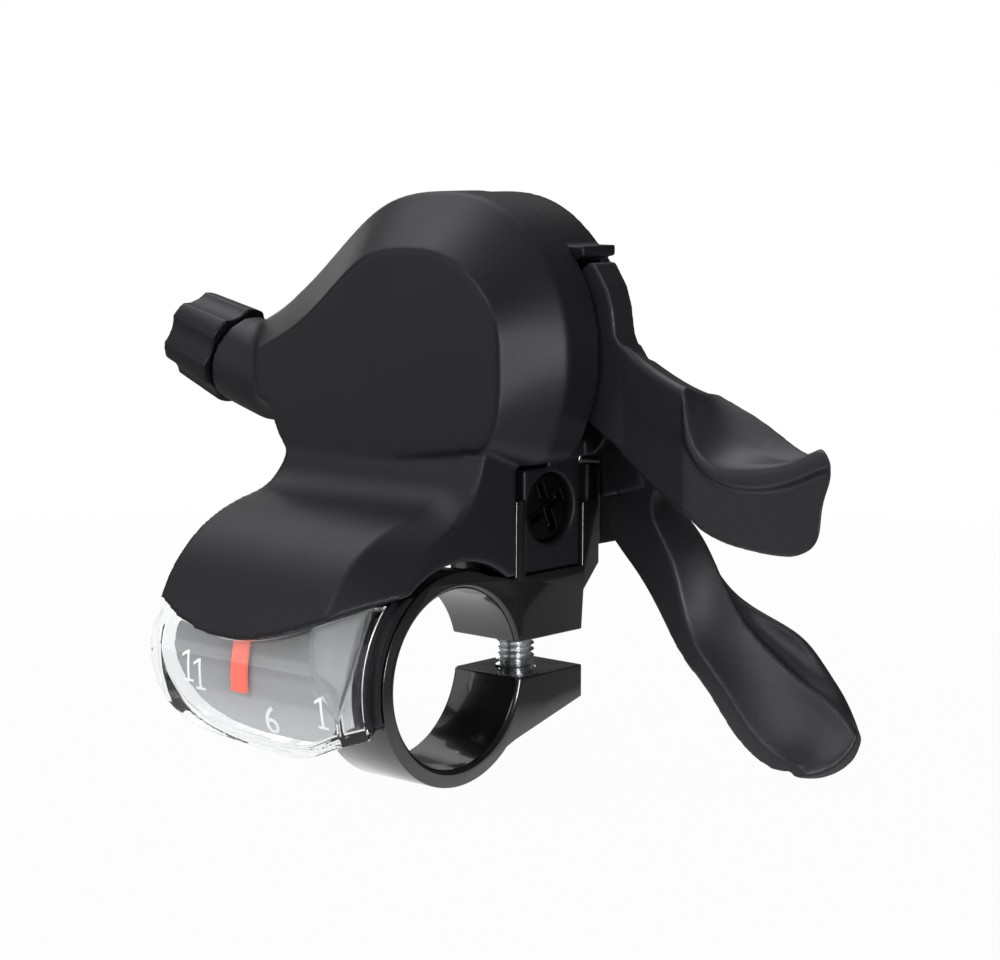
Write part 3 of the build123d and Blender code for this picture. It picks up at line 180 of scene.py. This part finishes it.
# %% Shader sums
class Wire:
    """One output socket in a net of nodes."""

    def __init__(self, tree, socket):
        self.tree = tree
        self.socket = socket

    def node(self, kind, settings=None, sockets=None, output=0):
        """Add a node, set it up and return one of its outputs."""
        made = self.tree.nodes.new(kind)
        for name, value in (settings or {}).items():
            if name == "stops":
                first, last = made.color_ramp.elements
                first.position, first.color = value[0]
                last.position, last.color = value[-1]
                for position, colour in value[1:-1]:
                    made.color_ramp.elements.new(position).color = colour
            else:
                setattr(made, name, value)
        for name, value in (sockets or {}).items():
            if isinstance(value, Wire):
                self.tree.links.new(value.socket, made.inputs[name])
            else:
                made.inputs[name].default_value = value
        return Wire(self.tree, made.outputs[output])

    def sum(self, operation, first, second):
        return self.node("ShaderNodeMath", {"operation": operation}, {0: first, 1: second})

    def __add__(self, other):
        return self.sum("ADD", self, other)

    __radd__ = __add__

    def __sub__(self, other):
        return self.sum("SUBTRACT", self, other)

    def __rsub__(self, other):
        return self.sum("SUBTRACT", other, self)

    def __mul__(self, other):
        return self.sum("MULTIPLY", self, other)

    __rmul__ = __mul__

    def __truediv__(self, other):
        return self.sum("DIVIDE", self, other)

    def __lt__(self, other):
        return self.sum("LESS_THAN", self, other)

    def __gt__(self, other):
        return self.sum("GREATER_THAN", self, other)

    def larger(self, other):
        return self.sum("MAXIMUM", self, other)

    def clamp(self):
        """This value, kept between 0 and 1."""
        return self.node("ShaderNodeClamp", {}, {0: self})

    def mix(self, first, second):
        """Blend two colours, with this value as the share of the second."""
        # A Mix node has its two colours in the sockets 6 and 7, and the blend in its output 2.
        return self.node(
            "ShaderNodeMix", {"data_type": "RGBA"}, {0: self, 6: first, 7: second}, output=2,
        )

    def noise(self, scale, detail=2.0):
        return self.node("ShaderNodeTexNoise", {}, {"Vector": self, "Scale": scale, "Detail": detail})

    def bump(self, strength, distance):
        return self.node(
            "ShaderNodeBump", {}, {"Height": self, "Strength": strength, "Distance": distance},
        )

    def axes(self):
        """The three coordinates of this point."""
        split = self.node("ShaderNodeSeparateXYZ", {}, {0: self}).socket.node
        return [Wire(self.tree, output) for output in split.outputs]

    def along(self, direction):
        """How far this point lies along a direction."""
        x, y, z = self.axes()
        return direction[0] * x + direction[1] * y + direction[2] * z


# %% [markdown]
# Each finish starts in the same way: a new material, the shader values that are the same all over, and
# the place on the object, in metres, that its patterns are drawn by.

# %% Start a finish and feed its shader
def start_finish(name, fixed):
    """Make a material with fixed shader values; return it, its shader and its object coordinates."""
    material = bpy.data.materials.new(name)
    material.use_nodes = True
    tree = material.node_tree
    shader = tree.nodes["Principled BSDF"]
    for socket, value in fixed.items():
        shader.inputs[socket].default_value = value
    place = Wire(tree, tree.nodes.new("ShaderNodeTexCoord").outputs["Object"])
    return material, shader, place


def feed(shader, socket, wire):
    """Link a value to a socket of the shader."""
    wire.tree.links.new(wire.socket, shader.inputs[socket])


def grey(tone, blue=1.0):
    """A grey colour, a little bluer or warmer where asked."""
    return (tone, tone, tone * blue, 1)


# %% [markdown]
# The cover, the case and the levers are black moulded plastic with a fine spark-eroded grain. The flat
# panel has a smoother, darker skin. Both are one recipe: a noise of about a quarter of a millimetre for
# the grain, and a slow noise that varies the gloss a little, as handling does.

# %% Moulded plastic
GRIT = 4200.0
GRIT_DETAIL = 3.0
GRIT_SHARE = 0.7
GRIT_HEIGHT = 0.04 * MM
GRIT_GLOSS = 0.08
PATCHES = 90.0
PATCH_GLOSS = 0.10
DARK_SHARE = 0.80
PALE_SHARE = 1.25
DARK_BLUE = 1.25
PALE_BLUE = 1.20
COOL_SHINE = (0.96, 0.93, 1.0, 1)
PANEL_FRONT = 3.75 * MM
PANEL_LOW = 26.0 * MM
PANEL_DARK = 0.7
PANEL_GLOSS = 0.04
PANEL_EVEN = 0.8


def grained_plastic(name, tone, rough, grain, shine, smooth_mask=None):
    """Black plastic with grain; the mask gives the share of smooth skin at a place."""
    fixed = {"Specular IOR Level": shine, "Specular Tint": COOL_SHINE}
    material, shader, place = start_finish(name, fixed)
    grit = place.noise(GRIT, GRIT_DETAIL)
    patches = place.noise(PATCHES)
    dark = grey(tone * DARK_SHARE, DARK_BLUE)
    pale = grey(tone * PALE_SHARE, PALE_BLUE)
    colour = (grit * GRIT_SHARE + patches * (1 - GRIT_SHARE)).mix(dark, pale)
    roughness = patches * PATCH_GLOSS + grit * GRIT_GLOSS + (rough - PATCH_GLOSS / 2)
    height = grit
    if smooth_mask is not None:
        smooth = smooth_mask(place)
        colour = smooth.mix(colour, grey(tone * PANEL_DARK, DARK_BLUE))
        roughness = roughness - smooth * PANEL_GLOSS
        height = grit * (1 - smooth * PANEL_EVEN)
    feed(shader, "Base Color", colour)
    feed(shader, "Roughness", roughness)
    feed(shader, "Normal", height.bump(grain, GRIT_HEIGHT))
    return material


def panel_skin(place):
    """1 on the flat panel, 0 elsewhere."""
    y, z = place.axes()[1:]
    return (y < PANEL_FRONT) * (z > PANEL_LOW)


cover_finish = grained_plastic(
    "cover_skin", tone=0.009, rough=0.44, grain=0.35, shine=0.45, smooth_mask=panel_skin,
)
case_finish = grained_plastic("case_skin", tone=0.007, rough=0.42, grain=0.25, shine=0.40)
lever_finish = grained_plastic("lever_skin", tone=0.010, rough=0.42, grain=0.40, shine=0.75)
print("plastics:", cover_finish.name, case_finish.name, lever_finish.name)

# %% [markdown]
# The clamp is cast metal under gloss black paint, so its rims catch thin bright lines. Paint is a dark
# base with a clear coat, and a slow noise in the normal for the slight orange-peel of sprayed paint.
# Plated and bare metal is a shiny base with fine wear in its gloss.

# %% Paint and metals
PEEL = 700.0
PAINT_BLUE = 1.1
PAINT_DARK = grey(0.005, PAINT_BLUE)
PAINT_PALE = grey(0.009, PAINT_BLUE)
SLIGHT_BUMP = 0.05
PEEL_HEIGHT = 0.05 * MM
FINE_HEIGHT = 0.02 * MM
WEAR_DETAIL = 4.0
WEAR_DARK = 0.75
WEAR_GLOSS = 0.2


def black_paint():
    """Gloss black over a casting."""
    material, shader, place = start_finish(
        "gloss_black", {"Roughness": 0.22, "Coat Weight": 0.8, "Coat Roughness": 0.05},
    )
    peel = place.noise(PEEL)
    feed(shader, "Base Color", peel.mix(PAINT_DARK, PAINT_PALE))
    feed(shader, "Normal", peel.bump(SLIGHT_BUMP, PEEL_HEIGHT))
    return material


def plain_metal(name, colour, rough, fineness):
    """Bare or plated metal with fine wear in its gloss."""
    material, shader, place = start_finish(name, {"Metallic": 1.0})
    wear = place.noise(fineness, WEAR_DETAIL)
    darker = tuple(part * WEAR_DARK for part in colour)
    feed(shader, "Base Color", wear.mix((*darker, 1), (*colour, 1)))
    feed(shader, "Roughness", wear * WEAR_GLOSS + (rough - WEAR_GLOSS / 2))
    feed(shader, "Normal", wear.bump(SLIGHT_BUMP, FINE_HEIGHT))
    return material


paint_finish = black_paint()
zinc_finish = plain_metal("zinc_plate", (0.78, 0.80, 0.82), rough=0.28, fineness=1500.0)
steel_finish = plain_metal("zinc_steel", (0.55, 0.56, 0.58), rough=0.34, fineness=1200.0)
spring_finish = plain_metal("spring_wire", (0.40, 0.41, 0.43), rough=0.30, fineness=1800.0)
oxide_finish = plain_metal("black_oxide", (0.030, 0.030, 0.032), rough=0.36, fineness=1500.0)
print("paint:", paint_finish.name)
print("metals:", zinc_finish.name, steel_finish.name, spring_finish.name, oxide_finish.name)

# %% [markdown]
# The lens is clear moulded plastic. Light has to pass through it to the dial, so the shader is a clear
# dielectric, and for shadow rays it lets the light straight through. The slanted facet at its end is
# slightly frosted, which a mask along the facet's normal gives.

# %% Clear lens
FACET_NORMAL = (0.431, -0.826, 0.363)
FACET_DISTANCE = 16.76 * MM
FACET_DEPTH = 0.45 * MM
FACET_FADE = 0.30 * MM
FROST = 0.45
CLEAR_TINT = (0.97, 0.98, 0.985, 1)
HAZE_TINT = (0.80, 0.81, 0.82, 1)
THROUGH_TINT = (0.96, 0.97, 0.975, 1)


def clear_lens():
    """Clear plastic with one frosted facet."""
    clear = {"Roughness": 0.03, "IOR": 1.49, "Transmission Weight": 1.0, "Base Color": CLEAR_TINT}
    material, shader, place = start_finish("clear_plastic", clear)
    tree = material.node_tree
    facet = ((place.along(FACET_NORMAL) - (FACET_DISTANCE - FACET_DEPTH)) / FACET_FADE).clamp()
    haze = place.node("ShaderNodeBsdfTranslucent", {}, {"Color": HAZE_TINT})
    glass = Wire(tree, shader.outputs[0])
    frosted = place.node("ShaderNodeMixShader", {}, {0: facet * FROST, 1: glass, 2: haze})
    through = place.node("ShaderNodeBsdfTransparent", {}, {"Color": THROUGH_TINT})
    shadow = Wire(tree, tree.nodes.new("ShaderNodeLightPath").outputs["Is Shadow Ray"])
    both = place.node("ShaderNodeMixShader", {}, {0: shadow, 1: frosted, 2: through})
    tree.links.new(both.socket, tree.nodes["Material Output"].inputs["Surface"])
    return material


lens_finish = clear_lens()
print("lens:", lens_finish.name)

# %% [markdown]
# The dial behind the lens is grey, painted darker under the hood as the hood's shade on it, and paler in
# soft bands towards its lower rim. A colour ramp over the height gives this painted shade and its bands.
# The needle, the numbers and the gears are even plastics with a slight change of tone.

# %% Dial, needle, numbers and gears
DIAL_LOW = -7.5 * MM
DIAL_HEIGHT = 15.0 * MM
# Painted shade: the dial's tone from its lower rim (0) up to its top (1), darkest at the top under the
# hood.
DIAL_HOOD_SHADE_BANDS = [
    (0.00, 0.46), (0.20, 0.40), (0.33, 0.35), (0.37, 0.29), (0.53, 0.26), (0.57, 0.21), (0.68, 0.18),
    (0.72, 0.11), (1.00, 0.06),
]
DIAL_BLUE = 1.03
PRINT_GRAIN = 2500.0
TONE_PATCHES = 400.0
TONE_DETAIL = 3.0
TONE_RISE = 1.08
TONE_GLOSS = 0.12
FINE_GRAIN = 3000.0
FINE_BUMP = 0.08


def dial_grey_with_hood_shade():
    """Grey dial with the hood's shade painted on: dark at the top, paler in bands towards the lower rim.
    """
    material, shader, place = start_finish("dial_greys_hood_shade", {"Roughness": 0.5})
    height = (place.axes()[2] - DIAL_LOW) / DIAL_HEIGHT
    stops = [(position, grey(tone, DIAL_BLUE)) for position, tone in DIAL_HOOD_SHADE_BANDS]
    # The ramp paints the hood's shade on the dial: pale low down, dark at the top.
    feed(shader, "Base Color", height.node("ShaderNodeValToRGB", {"stops": stops}, {0: height}))
    feed(shader, "Normal", place.noise(PRINT_GRAIN).bump(SLIGHT_BUMP, FINE_HEIGHT))
    return material


def plain_plastic(name, colour, rough):
    """Even plastic with a slight change of tone and gloss."""
    material, shader, place = start_finish(name, {})
    patches = place.noise(TONE_PATCHES, TONE_DETAIL)
    paler = tuple(min(part * TONE_RISE, 1) for part in colour)
    feed(shader, "Base Color", patches.mix((*colour, 1), (*paler, 1)))
    feed(shader, "Roughness", patches * TONE_GLOSS + (rough - TONE_GLOSS / 2))
    feed(shader, "Normal", place.noise(FINE_GRAIN).bump(FINE_BUMP, FINE_HEIGHT))
    return material


dial_finish = dial_grey_with_hood_shade()
needle_finish = plain_plastic("red_plastic", (0.95, 0.11, 0.055), rough=0.35)
number_finish = plain_plastic("number_pale", (0.78, 0.79, 0.80), rough=0.5)
gear_finish = plain_plastic("pale_plastic", (0.62, 0.60, 0.55), rough=0.45)
print("display:", dial_finish.name, needle_finish.name, number_finish.name)
print("gears:", gear_finish.name)

# %% [markdown]
# The cover is the largest moulding. Its ridge, its panel and its hood meet in soft edges, so the copy of
# its node is softened all over. The neck for the cable runs into the body in a long soft curve, which
# many more rounds of smoothing make there alone. The hood's thin lip gets some more rounds too, so that
# it runs evenly along the lens.

# %% Cover
NECK_FROM = -43.0
NECK_TO = -33.0
NECK_FADE = 3.0
LIP_TOP = 12.0
LIP_BACK = -8.0
LIP_FADE = 4.0


def neck_root(x, y, z):
    """Weight of the root of the neck: full in its middle, fading to both ends."""
    return min(x - NECK_FROM, NECK_TO - x) / NECK_FADE


def hood_lip(x, y, z):
    """Weight of the hood's lip: full at its edge, fading upwards and backwards."""
    return min(LIP_TOP - z, LIP_BACK - y) / LIP_FADE


cover = copy_node("top_cover", "cover_shell")
soften(cover, voxel=0.36, rounds=7)
smooth_where(cover, neck_root, rounds=48)
smooth_where(cover, hood_lip, rounds=10)
stand_for(cover, "top_cover", "housing", cover_finish)

# %% [markdown]
# The case behind the cover and the lobed knob of the cable adjuster are the same black plastic, with
# smaller edges. They only need a few rounds.

# %% Case and adjuster knob
case = copy_node("lower_case", "case_back")
soften(case, voxel=0.28, rounds=4)
stand_for(case, "lower_case", "housing", case_finish)
knob = copy_node("barrel_adjuster", "adjuster_knob")
soften(knob, voxel=0.18, rounds=6)
stand_for(knob, "barrel_adjuster", "adjuster", case_finish)

# %% [markdown]
# Both levers are thick mouldings with rounded rims. Fingers and thumb push on their paddles, so nothing
# there is sharp, and the paddles get more rounds than the plates that turn on the axle.

# %% Levers
PLATE_END = 11.0
ARM_END = 16.0


def outside_case(x, y, z):
    """Weight of the part of a lever that stands out of the case."""
    return (x - PLATE_END) / (ARM_END - PLATE_END)


thumb = copy_node("thumb_lever", "thumb_paddle")
soften(thumb, voxel=0.20, rounds=8)
smooth_where(thumb, outside_case, rounds=26)
stand_for(thumb, "thumb_lever", "thumb", lever_finish)
release = copy_node("release_lever", "release_paddle")
soften(release, voxel=0.20, rounds=5)
smooth_where(release, outside_case, rounds=18)
stand_for(release, "release_lever", "release", lever_finish)

# %% [markdown]
# The clamp keeps its crisp casting, so its edges only get a narrow bevel that shines.

# %% Clamp
clamp = copy_node("clamp_band", "clamp_ring")
break_edges(clamp, width=0.30)
stand_for(clamp, "clamp_band", "housing", paint_finish)

# %% [markdown]
# The clamp's bolt shows in the slit, so it gets a real thread: a triangle that the Screw modifier winds
# up along the shank.

# %% Bolt thread
BOLT_Y = 16.6 * MM
BOLT_LOW = -4.2 * MM
BOLT_TOP = 9.0 * MM
THREAD_R = 2.46 * MM
THREAD_PITCH = 0.8 * MM
THREAD_SIDE = 0.76 * MM
THREAD_STEPS = 40
FINE_MERGE = MERGE / 10
QUARTER_TURN = math.radians(90)
FULL_TURN = math.radians(360)
triangle_r = THREAD_SIDE / math.sqrt(3)
turns = int((BOLT_TOP - BOLT_LOW) / THREAD_PITCH)

bpy.ops.object.select_all(action="DESELECT")
bpy.ops.mesh.primitive_circle_add(
    vertices=3, radius=triangle_r, fill_type="NGON", location=(THREAD_R - triangle_r, 0, BOLT_LOW),
    rotation=(QUARTER_TURN, QUARTER_TURN, 0),
)
thread = bpy.context.object
bpy.ops.object.transform_apply(location=True, rotation=True, scale=True)
apply_modifier(
    thread, "SCREW", angle=FULL_TURN, screw_offset=THREAD_PITCH, iterations=turns,
    steps=THREAD_STEPS, render_steps=THREAD_STEPS, use_merge_vertices=True, merge_threshold=FINE_MERGE,
)
print("thread turns:", turns)

# %% [markdown]
# The thread is wound round a core that is thinner than the bolt by the thread's depth. The head comes
# from the node's own mesh, which is cut off just above the start of the thread. The three are joined.

# %% Bolt core, head and the finished bolt
THREAD_DEPTH = 0.45 * MM
CORE_SIDES = 64
CORE_BEVEL = 0.3 * MM

bpy.ops.object.select_all(action="DESELECT")
bpy.ops.mesh.primitive_cylinder_add(
    vertices=CORE_SIDES, radius=THREAD_R - THREAD_DEPTH, depth=BOLT_TOP - BOLT_LOW,
    location=(0, 0, (BOLT_TOP + BOLT_LOW) / 2),
)
core = bpy.context.object
bpy.ops.object.transform_apply(location=True, rotation=True, scale=True)
apply_modifier(core, "BEVEL", width=CORE_BEVEL, segments=2, limit_method="ANGLE")
for part in (thread, core):
    part.location = (0, BOLT_Y, 0)
    pick(part)
    bpy.ops.object.transform_apply(location=True)

bolt = copy_node("clamp_bolt", "clamp_bolt_threaded")
bpy.ops.object.mode_set(mode="EDIT")
bpy.ops.mesh.select_all(action="SELECT")
bpy.ops.mesh.bisect(
    plane_co=(0, 0, BOLT_LOW + THREAD_PITCH / 2), plane_no=(0, 0, 1), use_fill=True, clear_outer=True,
)
bpy.ops.object.mode_set(mode="OBJECT")
pick(bolt)
thread.select_set(True)
core.select_set(True)
bpy.ops.object.join()
bpy.ops.object.shade_smooth_by_angle(angle=EDGE_ANGLE)
stand_for(bolt, "clamp_bolt", "housing", zinc_finish)
print(bolt.name, "faces:", len(bolt.data.polygons))

# %% [markdown]
# The lens would refract every facet of a coarse mesh as a shard, so it is laid out in very small faces
# and smoothed until its walls are even. Its lower left corner is full and round: the lens and the dial
# behind it are drawn out there, a little to the left and a little further round the bar.

# %% Lens and dial
LENS_REACH = 1.4
LENS_TURN = math.radians(3.5)
DIAL_REACH = 1.8
DIAL_TURN = math.radians(6.5)
# Where the draw-out starts and where it is full, in millimetres, first along the bar and then in height.
LEFT_X = (-16, -27)
LEFT_Z = (9, 4)
LOWER_X = (4, -4)
LOWER_Z = (3, -5)


def soft_step(value, start, end):
    """0 before the start, 1 after the end, and a soft step between."""
    part = min(max((value - start) / (end - start), 0), 1)
    return part * part * (3 - 2 * part)


def draw_out(piece, reach, turn):
    """Draw the lower left corner out by a reach in millimetres and a turn about the bar."""
    for vertex in piece.data.vertices:
        x, y, z = vertex.co / MM
        left = soft_step(x, *LEFT_X) * soft_step(z, *LEFT_Z)
        low = soft_step(z, *LOWER_Z) * soft_step(x, *LOWER_X)
        radius = math.hypot(y, z)
        angle = math.atan2(z, -y) - turn * low
        moved = Vector((x - reach * left, -radius * math.cos(angle), radius * math.sin(angle)))
        vertex.co = moved * MM


lens = copy_node("lens", "display_lens")
soften(lens, voxel=0.16, rounds=14)
draw_out(lens, LENS_REACH, LENS_TURN)
stand_for(lens, "lens", "housing", lens_finish)
dial = copy_node("dial_plate", "dial_face")
soften(dial, voxel=0.18, rounds=3)
draw_out(dial, DIAL_REACH, DIAL_TURN)
stand_for(dial, "dial_plate", "housing", dial_finish)

# %% [markdown]
# The black carrier behind the dial ends where the dial does, so its lower lip is cut off along a plane
# through the bar's axis. The cross-head screw beside the clamp is softened at its own small size.

# %% Dial carrier and cross-head screw
CARRIER_LOW = math.radians(-17.5)
carrier = copy_node("dial_case", "dial_carrier")
bpy.ops.object.mode_set(mode="EDIT")
bpy.ops.mesh.select_all(action="SELECT")
bpy.ops.mesh.bisect(
    plane_co=(0, 0, 0), plane_no=(0, math.sin(CARRIER_LOW), math.cos(CARRIER_LOW)), use_fill=True,
    clear_inner=True, threshold=FINE_MERGE,
)
bpy.ops.object.mode_set(mode="OBJECT")
break_edges(carrier, width=0.12, segments=2)
stand_for(carrier, "dial_case", "housing", case_finish)
cross_screw = copy_node("housing_screw", "cross_screw")
soften(cross_screw, voxel=0.10, rounds=4)
stand_for(cross_screw, "housing_screw", "housing", oxide_finish)

# %% [markdown]
# The other nodes have the right shape already. They stay as they are and only get their finish.

# %% Finishes of the nodes that stay
finish_nodes = [
    (steel_finish, [
        "base_plate", "lever_axle", "axle_washer", "axle_nut", "needle_shaft", "ratchet_wheel",
        "feed_pawl", "feed_pawl_pin", "hold_pawl",
    ]),
    (oxide_finish, ["cover_screw_1", "cover_screw_2", "cover_screw_3"]),
    (spring_finish, ["spool_spring", "adjuster_spring", "release_spring", "thumb_spring"]),
    (gear_finish, ["sector_gear", "spool_gear", "spool"]),
    (needle_finish, ["needle"]),
]
for finish, nodes in finish_nodes:
    for node in nodes:
        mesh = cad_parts[node].data
        mesh.materials.clear()
        mesh.materials.append(finish)
    print(finish.name, "on", ", ".join(nodes))

# %% [markdown]
# The dial carries three gear numbers. The 6 is a text object made a mesh. The 1 has a flag and a foot,
# so it is drawn as an outline. Both are laid round the dial's tube, a little above the print.

# %% Dial numbers
DIAL_R = 15.95 * MM
NUMBER_T = 0.02 * MM
TEXT_SIZE = 5.2 * MM
NUMBER_CUTS = 5
ONE_HEIGHT = 3.9 * MM
ONE = [
    (-0.22, -0.50), (0.22, -0.50), (0.22, -0.42), (0.05, -0.42), (0.05, 0.50), (-0.03, 0.50),
    (-0.28, 0.36), (-0.28, 0.26), (-0.05, 0.38), (-0.05, -0.42), (-0.22, -0.42),
]


def lay_on_dial(piece, name, x, z):
    """Give a flat number a fine net and bend it round the dial, centred at x and z in millimetres."""
    pick(piece)
    piece.name = name
    bpy.ops.object.mode_set(mode="EDIT")
    bpy.ops.mesh.select_all(action="SELECT")
    bpy.ops.mesh.remove_doubles(threshold=FINE_MERGE)
    bpy.ops.mesh.quads_convert_to_tris()
    bpy.ops.mesh.subdivide(number_cuts=NUMBER_CUTS)
    bpy.ops.object.mode_set(mode="OBJECT")
    middle = math.asin(z * MM / DIAL_R)
    for vertex in piece.data.vertices:
        angle = middle + vertex.co.y / DIAL_R
        radius = DIAL_R + vertex.co.z
        vertex.co = (x * MM + vertex.co.x, -radius * math.cos(angle), radius * math.sin(angle))
    piece.data.materials.append(number_finish)
    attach(piece, "housing")
    print(piece.name, "faces:", len(piece.data.polygons))


def draw_one(name, x, z):
    """Draw a 1 with its flag and foot on the dial."""
    mesh = bpy.data.meshes.new(name)
    corners = [(across * ONE_HEIGHT, up * ONE_HEIGHT, 0) for across, up in ONE]
    mesh.from_pydata(corners, [], [list(range(len(corners)))])
    piece = bpy.data.objects.new(name, mesh)
    bpy.context.scene.collection.objects.link(piece)
    apply_modifier(piece, "SOLIDIFY", thickness=2 * NUMBER_T, offset=0.0)
    lay_on_dial(piece, name, x, z)


bpy.ops.object.select_all(action="DESELECT")
bpy.ops.object.text_add()
six = bpy.context.object
six.data.body = "6"
six.data.size = TEXT_SIZE
six.data.align_x = "CENTER"
six.data.align_y = "CENTER"
six.data.extrude = NUMBER_T
bpy.ops.object.convert(target="MESH")
lay_on_dial(bpy.context.object, "number_6", x=-10.8, z=-4.9)
draw_one("number_1", x=-1.6, z=-2.5)
draw_one("number_11_left", x=-25.0, z=0.1)
draw_one("number_11_right", x=-22.9, z=-0.7)

# %% [markdown]
# The photograph shows the part on pure white. The floor is pale grey, and the camera sees it as white,
# apart from the little of it that shows the soft shadow near the part. Mirror rays see it as white
# close to the part only, so that polished rims catch it and large dark faces don't.

# %% Floor
FLOOR_GAP = 0.2 * MM
FLOOR_SIZE = 6.0
FLOOR_PATCHES = 30.0
FLOOR_DARK = grey(0.54)
FLOOR_PALE = grey(0.56)
FLOOR_GLOW = 0.97
# Both work on the squared distance in metres: the glow is full from 0.27 m on, and the white that
# mirror rays see fades out at 0.06 m.
GLOW_RISE = 14.0
MIRROR_FALL = 280.0
floor_z = min(corner[2] for corner in cad_box) - FLOOR_GAP
bpy.ops.object.select_all(action="DESELECT")
bpy.ops.mesh.primitive_plane_add(size=FLOOR_SIZE, location=(0, 0, floor_z))
floor = bpy.context.object
floor.name = "floor"
floor_finish, floor_shader, floor_place = start_finish("floor_white", {"Roughness": 0.9})
floor_tree = floor_finish.node_tree
feed(floor_shader, "Base Color", floor_place.noise(FLOOR_PATCHES).mix(FLOOR_DARK, FLOOR_PALE))
floor_x, floor_y = floor_place.axes()[:2]
distance_squared = floor_x * floor_x + floor_y * floor_y
away = (distance_squared * GLOW_RISE).clamp()
near = (1 - distance_squared * MIRROR_FALL).clamp()
path = floor_tree.nodes.new("ShaderNodeLightPath")
seen = Wire(floor_tree, path.outputs["Is Camera Ray"])
seen = seen.larger(Wire(floor_tree, path.outputs["Is Transmission Ray"]))
seen = seen.larger(Wire(floor_tree, path.outputs["Is Glossy Ray"]) * near)
glow = floor_place.node("ShaderNodeEmission", {}, {"Color": (1, 1, 1, 1)})
plain = Wire(floor_tree, floor_shader.outputs[0])
shown = floor_place.node(
    "ShaderNodeMixShader", {}, {0: seen * (away * (1 - FLOOR_GLOW) + FLOOR_GLOW), 1: plain, 2: glow},
)
floor_tree.links.new(shown.socket, floor_tree.nodes["Material Output"].inputs["Surface"])
floor.data.materials.append(floor_finish)
print("floor at", round(floor_z / MM, 2), "mm")

# %% [markdown]
# The world is white where the camera looks at it, straight or through the lens, and gives the part only
# a weak even light. The black plastic takes its shine from a bright wall above and a little behind it,
# which only mirror rays see, so that matt surfaces get no light from it.

# %% World
WALL = (-0.42, 0.25, 0.87)
WALL_EDGE = 0.75
WALL_FADE = 0.2
SHADE = 0.08
world = bpy.data.worlds.new("studio")
bpy.context.scene.world = world
world.use_nodes = True
sky_tree = world.node_tree
sky = sky_tree.nodes["Background"]
sky.inputs["Color"].default_value = (1, 1, 1, 1)
sky_path = sky_tree.nodes.new("ShaderNodeLightPath")
toward = Wire(sky_tree, sky_tree.nodes.new("ShaderNodeTexCoord").outputs["Generated"])
wall = ((toward.along(WALL) - WALL_EDGE) / WALL_FADE).clamp()
mirrored = Wire(sky_tree, sky_path.outputs["Is Glossy Ray"]) * wall
straight = Wire(sky_tree, sky_path.outputs["Is Camera Ray"])
refracted = Wire(sky_tree, sky_path.outputs["Is Transmission Ray"])
white = straight.larger(refracted).larger(mirrored)
sky_tree.links.new((white * (1 - SHADE) + SHADE).socket, sky.inputs["Strength"])
print("world:", world.name)

# %% [markdown]
# Five soft lamps light the part: a large one above on the left, a small one at the right for the
# shoulder of the cover, one in front for the levers and the dial, a wide low one for the panel, and a
# small one behind on the left that lays a sheen on the cover's long slope.

# %% Lamps
AIM = Vector((0, 0, 0.022))


def soft_lamp(name, place, size, watts):
    """Square lamp that points at the middle of the part."""
    bpy.ops.object.light_add(type="AREA", location=place)
    lamp = bpy.context.object
    lamp.name = name
    lamp.data.size = size
    lamp.data.energy = watts
    lamp.rotation_euler = (AIM - Vector(place)).to_track_quat("-Z", "Y").to_euler()
    print(lamp.name, watts, "W")


soft_lamp("lamp_left", (-0.28, 0.04, 0.52), size=0.36, watts=0.65)
soft_lamp("lamp_right", (0.56, -0.24, 0.06), size=0.16, watts=1.9)
soft_lamp("lamp_front", (0.06, -0.50, 0.40), size=0.25, watts=0.9)
soft_lamp("lamp_low", (-0.42, -0.48, 0.22), size=0.50, watts=0.7)
soft_lamp("lamp_back", (-0.52, 0.34, 0.12), size=0.16, watts=0.3)

# %% [markdown]
# The camera stands where the photograph was taken: low, to the right of the panel, with a long lens.

# %% Camera
CAMERA_PLACE = (0.21532, -0.22819, 0.06602)
CAMERA_TILT = math.radians(82.37)
CAMERA_TURN = math.radians(41.67)
bpy.ops.object.camera_add(location=CAMERA_PLACE, rotation=(CAMERA_TILT, 0, CAMERA_TURN))
camera = bpy.context.object
camera.data.lens = 93.6
camera.data.sensor_width = 36.0
camera.data.clip_start = 0.01
bpy.context.scene.camera = camera
bpy.context.scene.view_settings.view_transform = "Standard"
print("camera lens:", camera.data.lens, "mm")
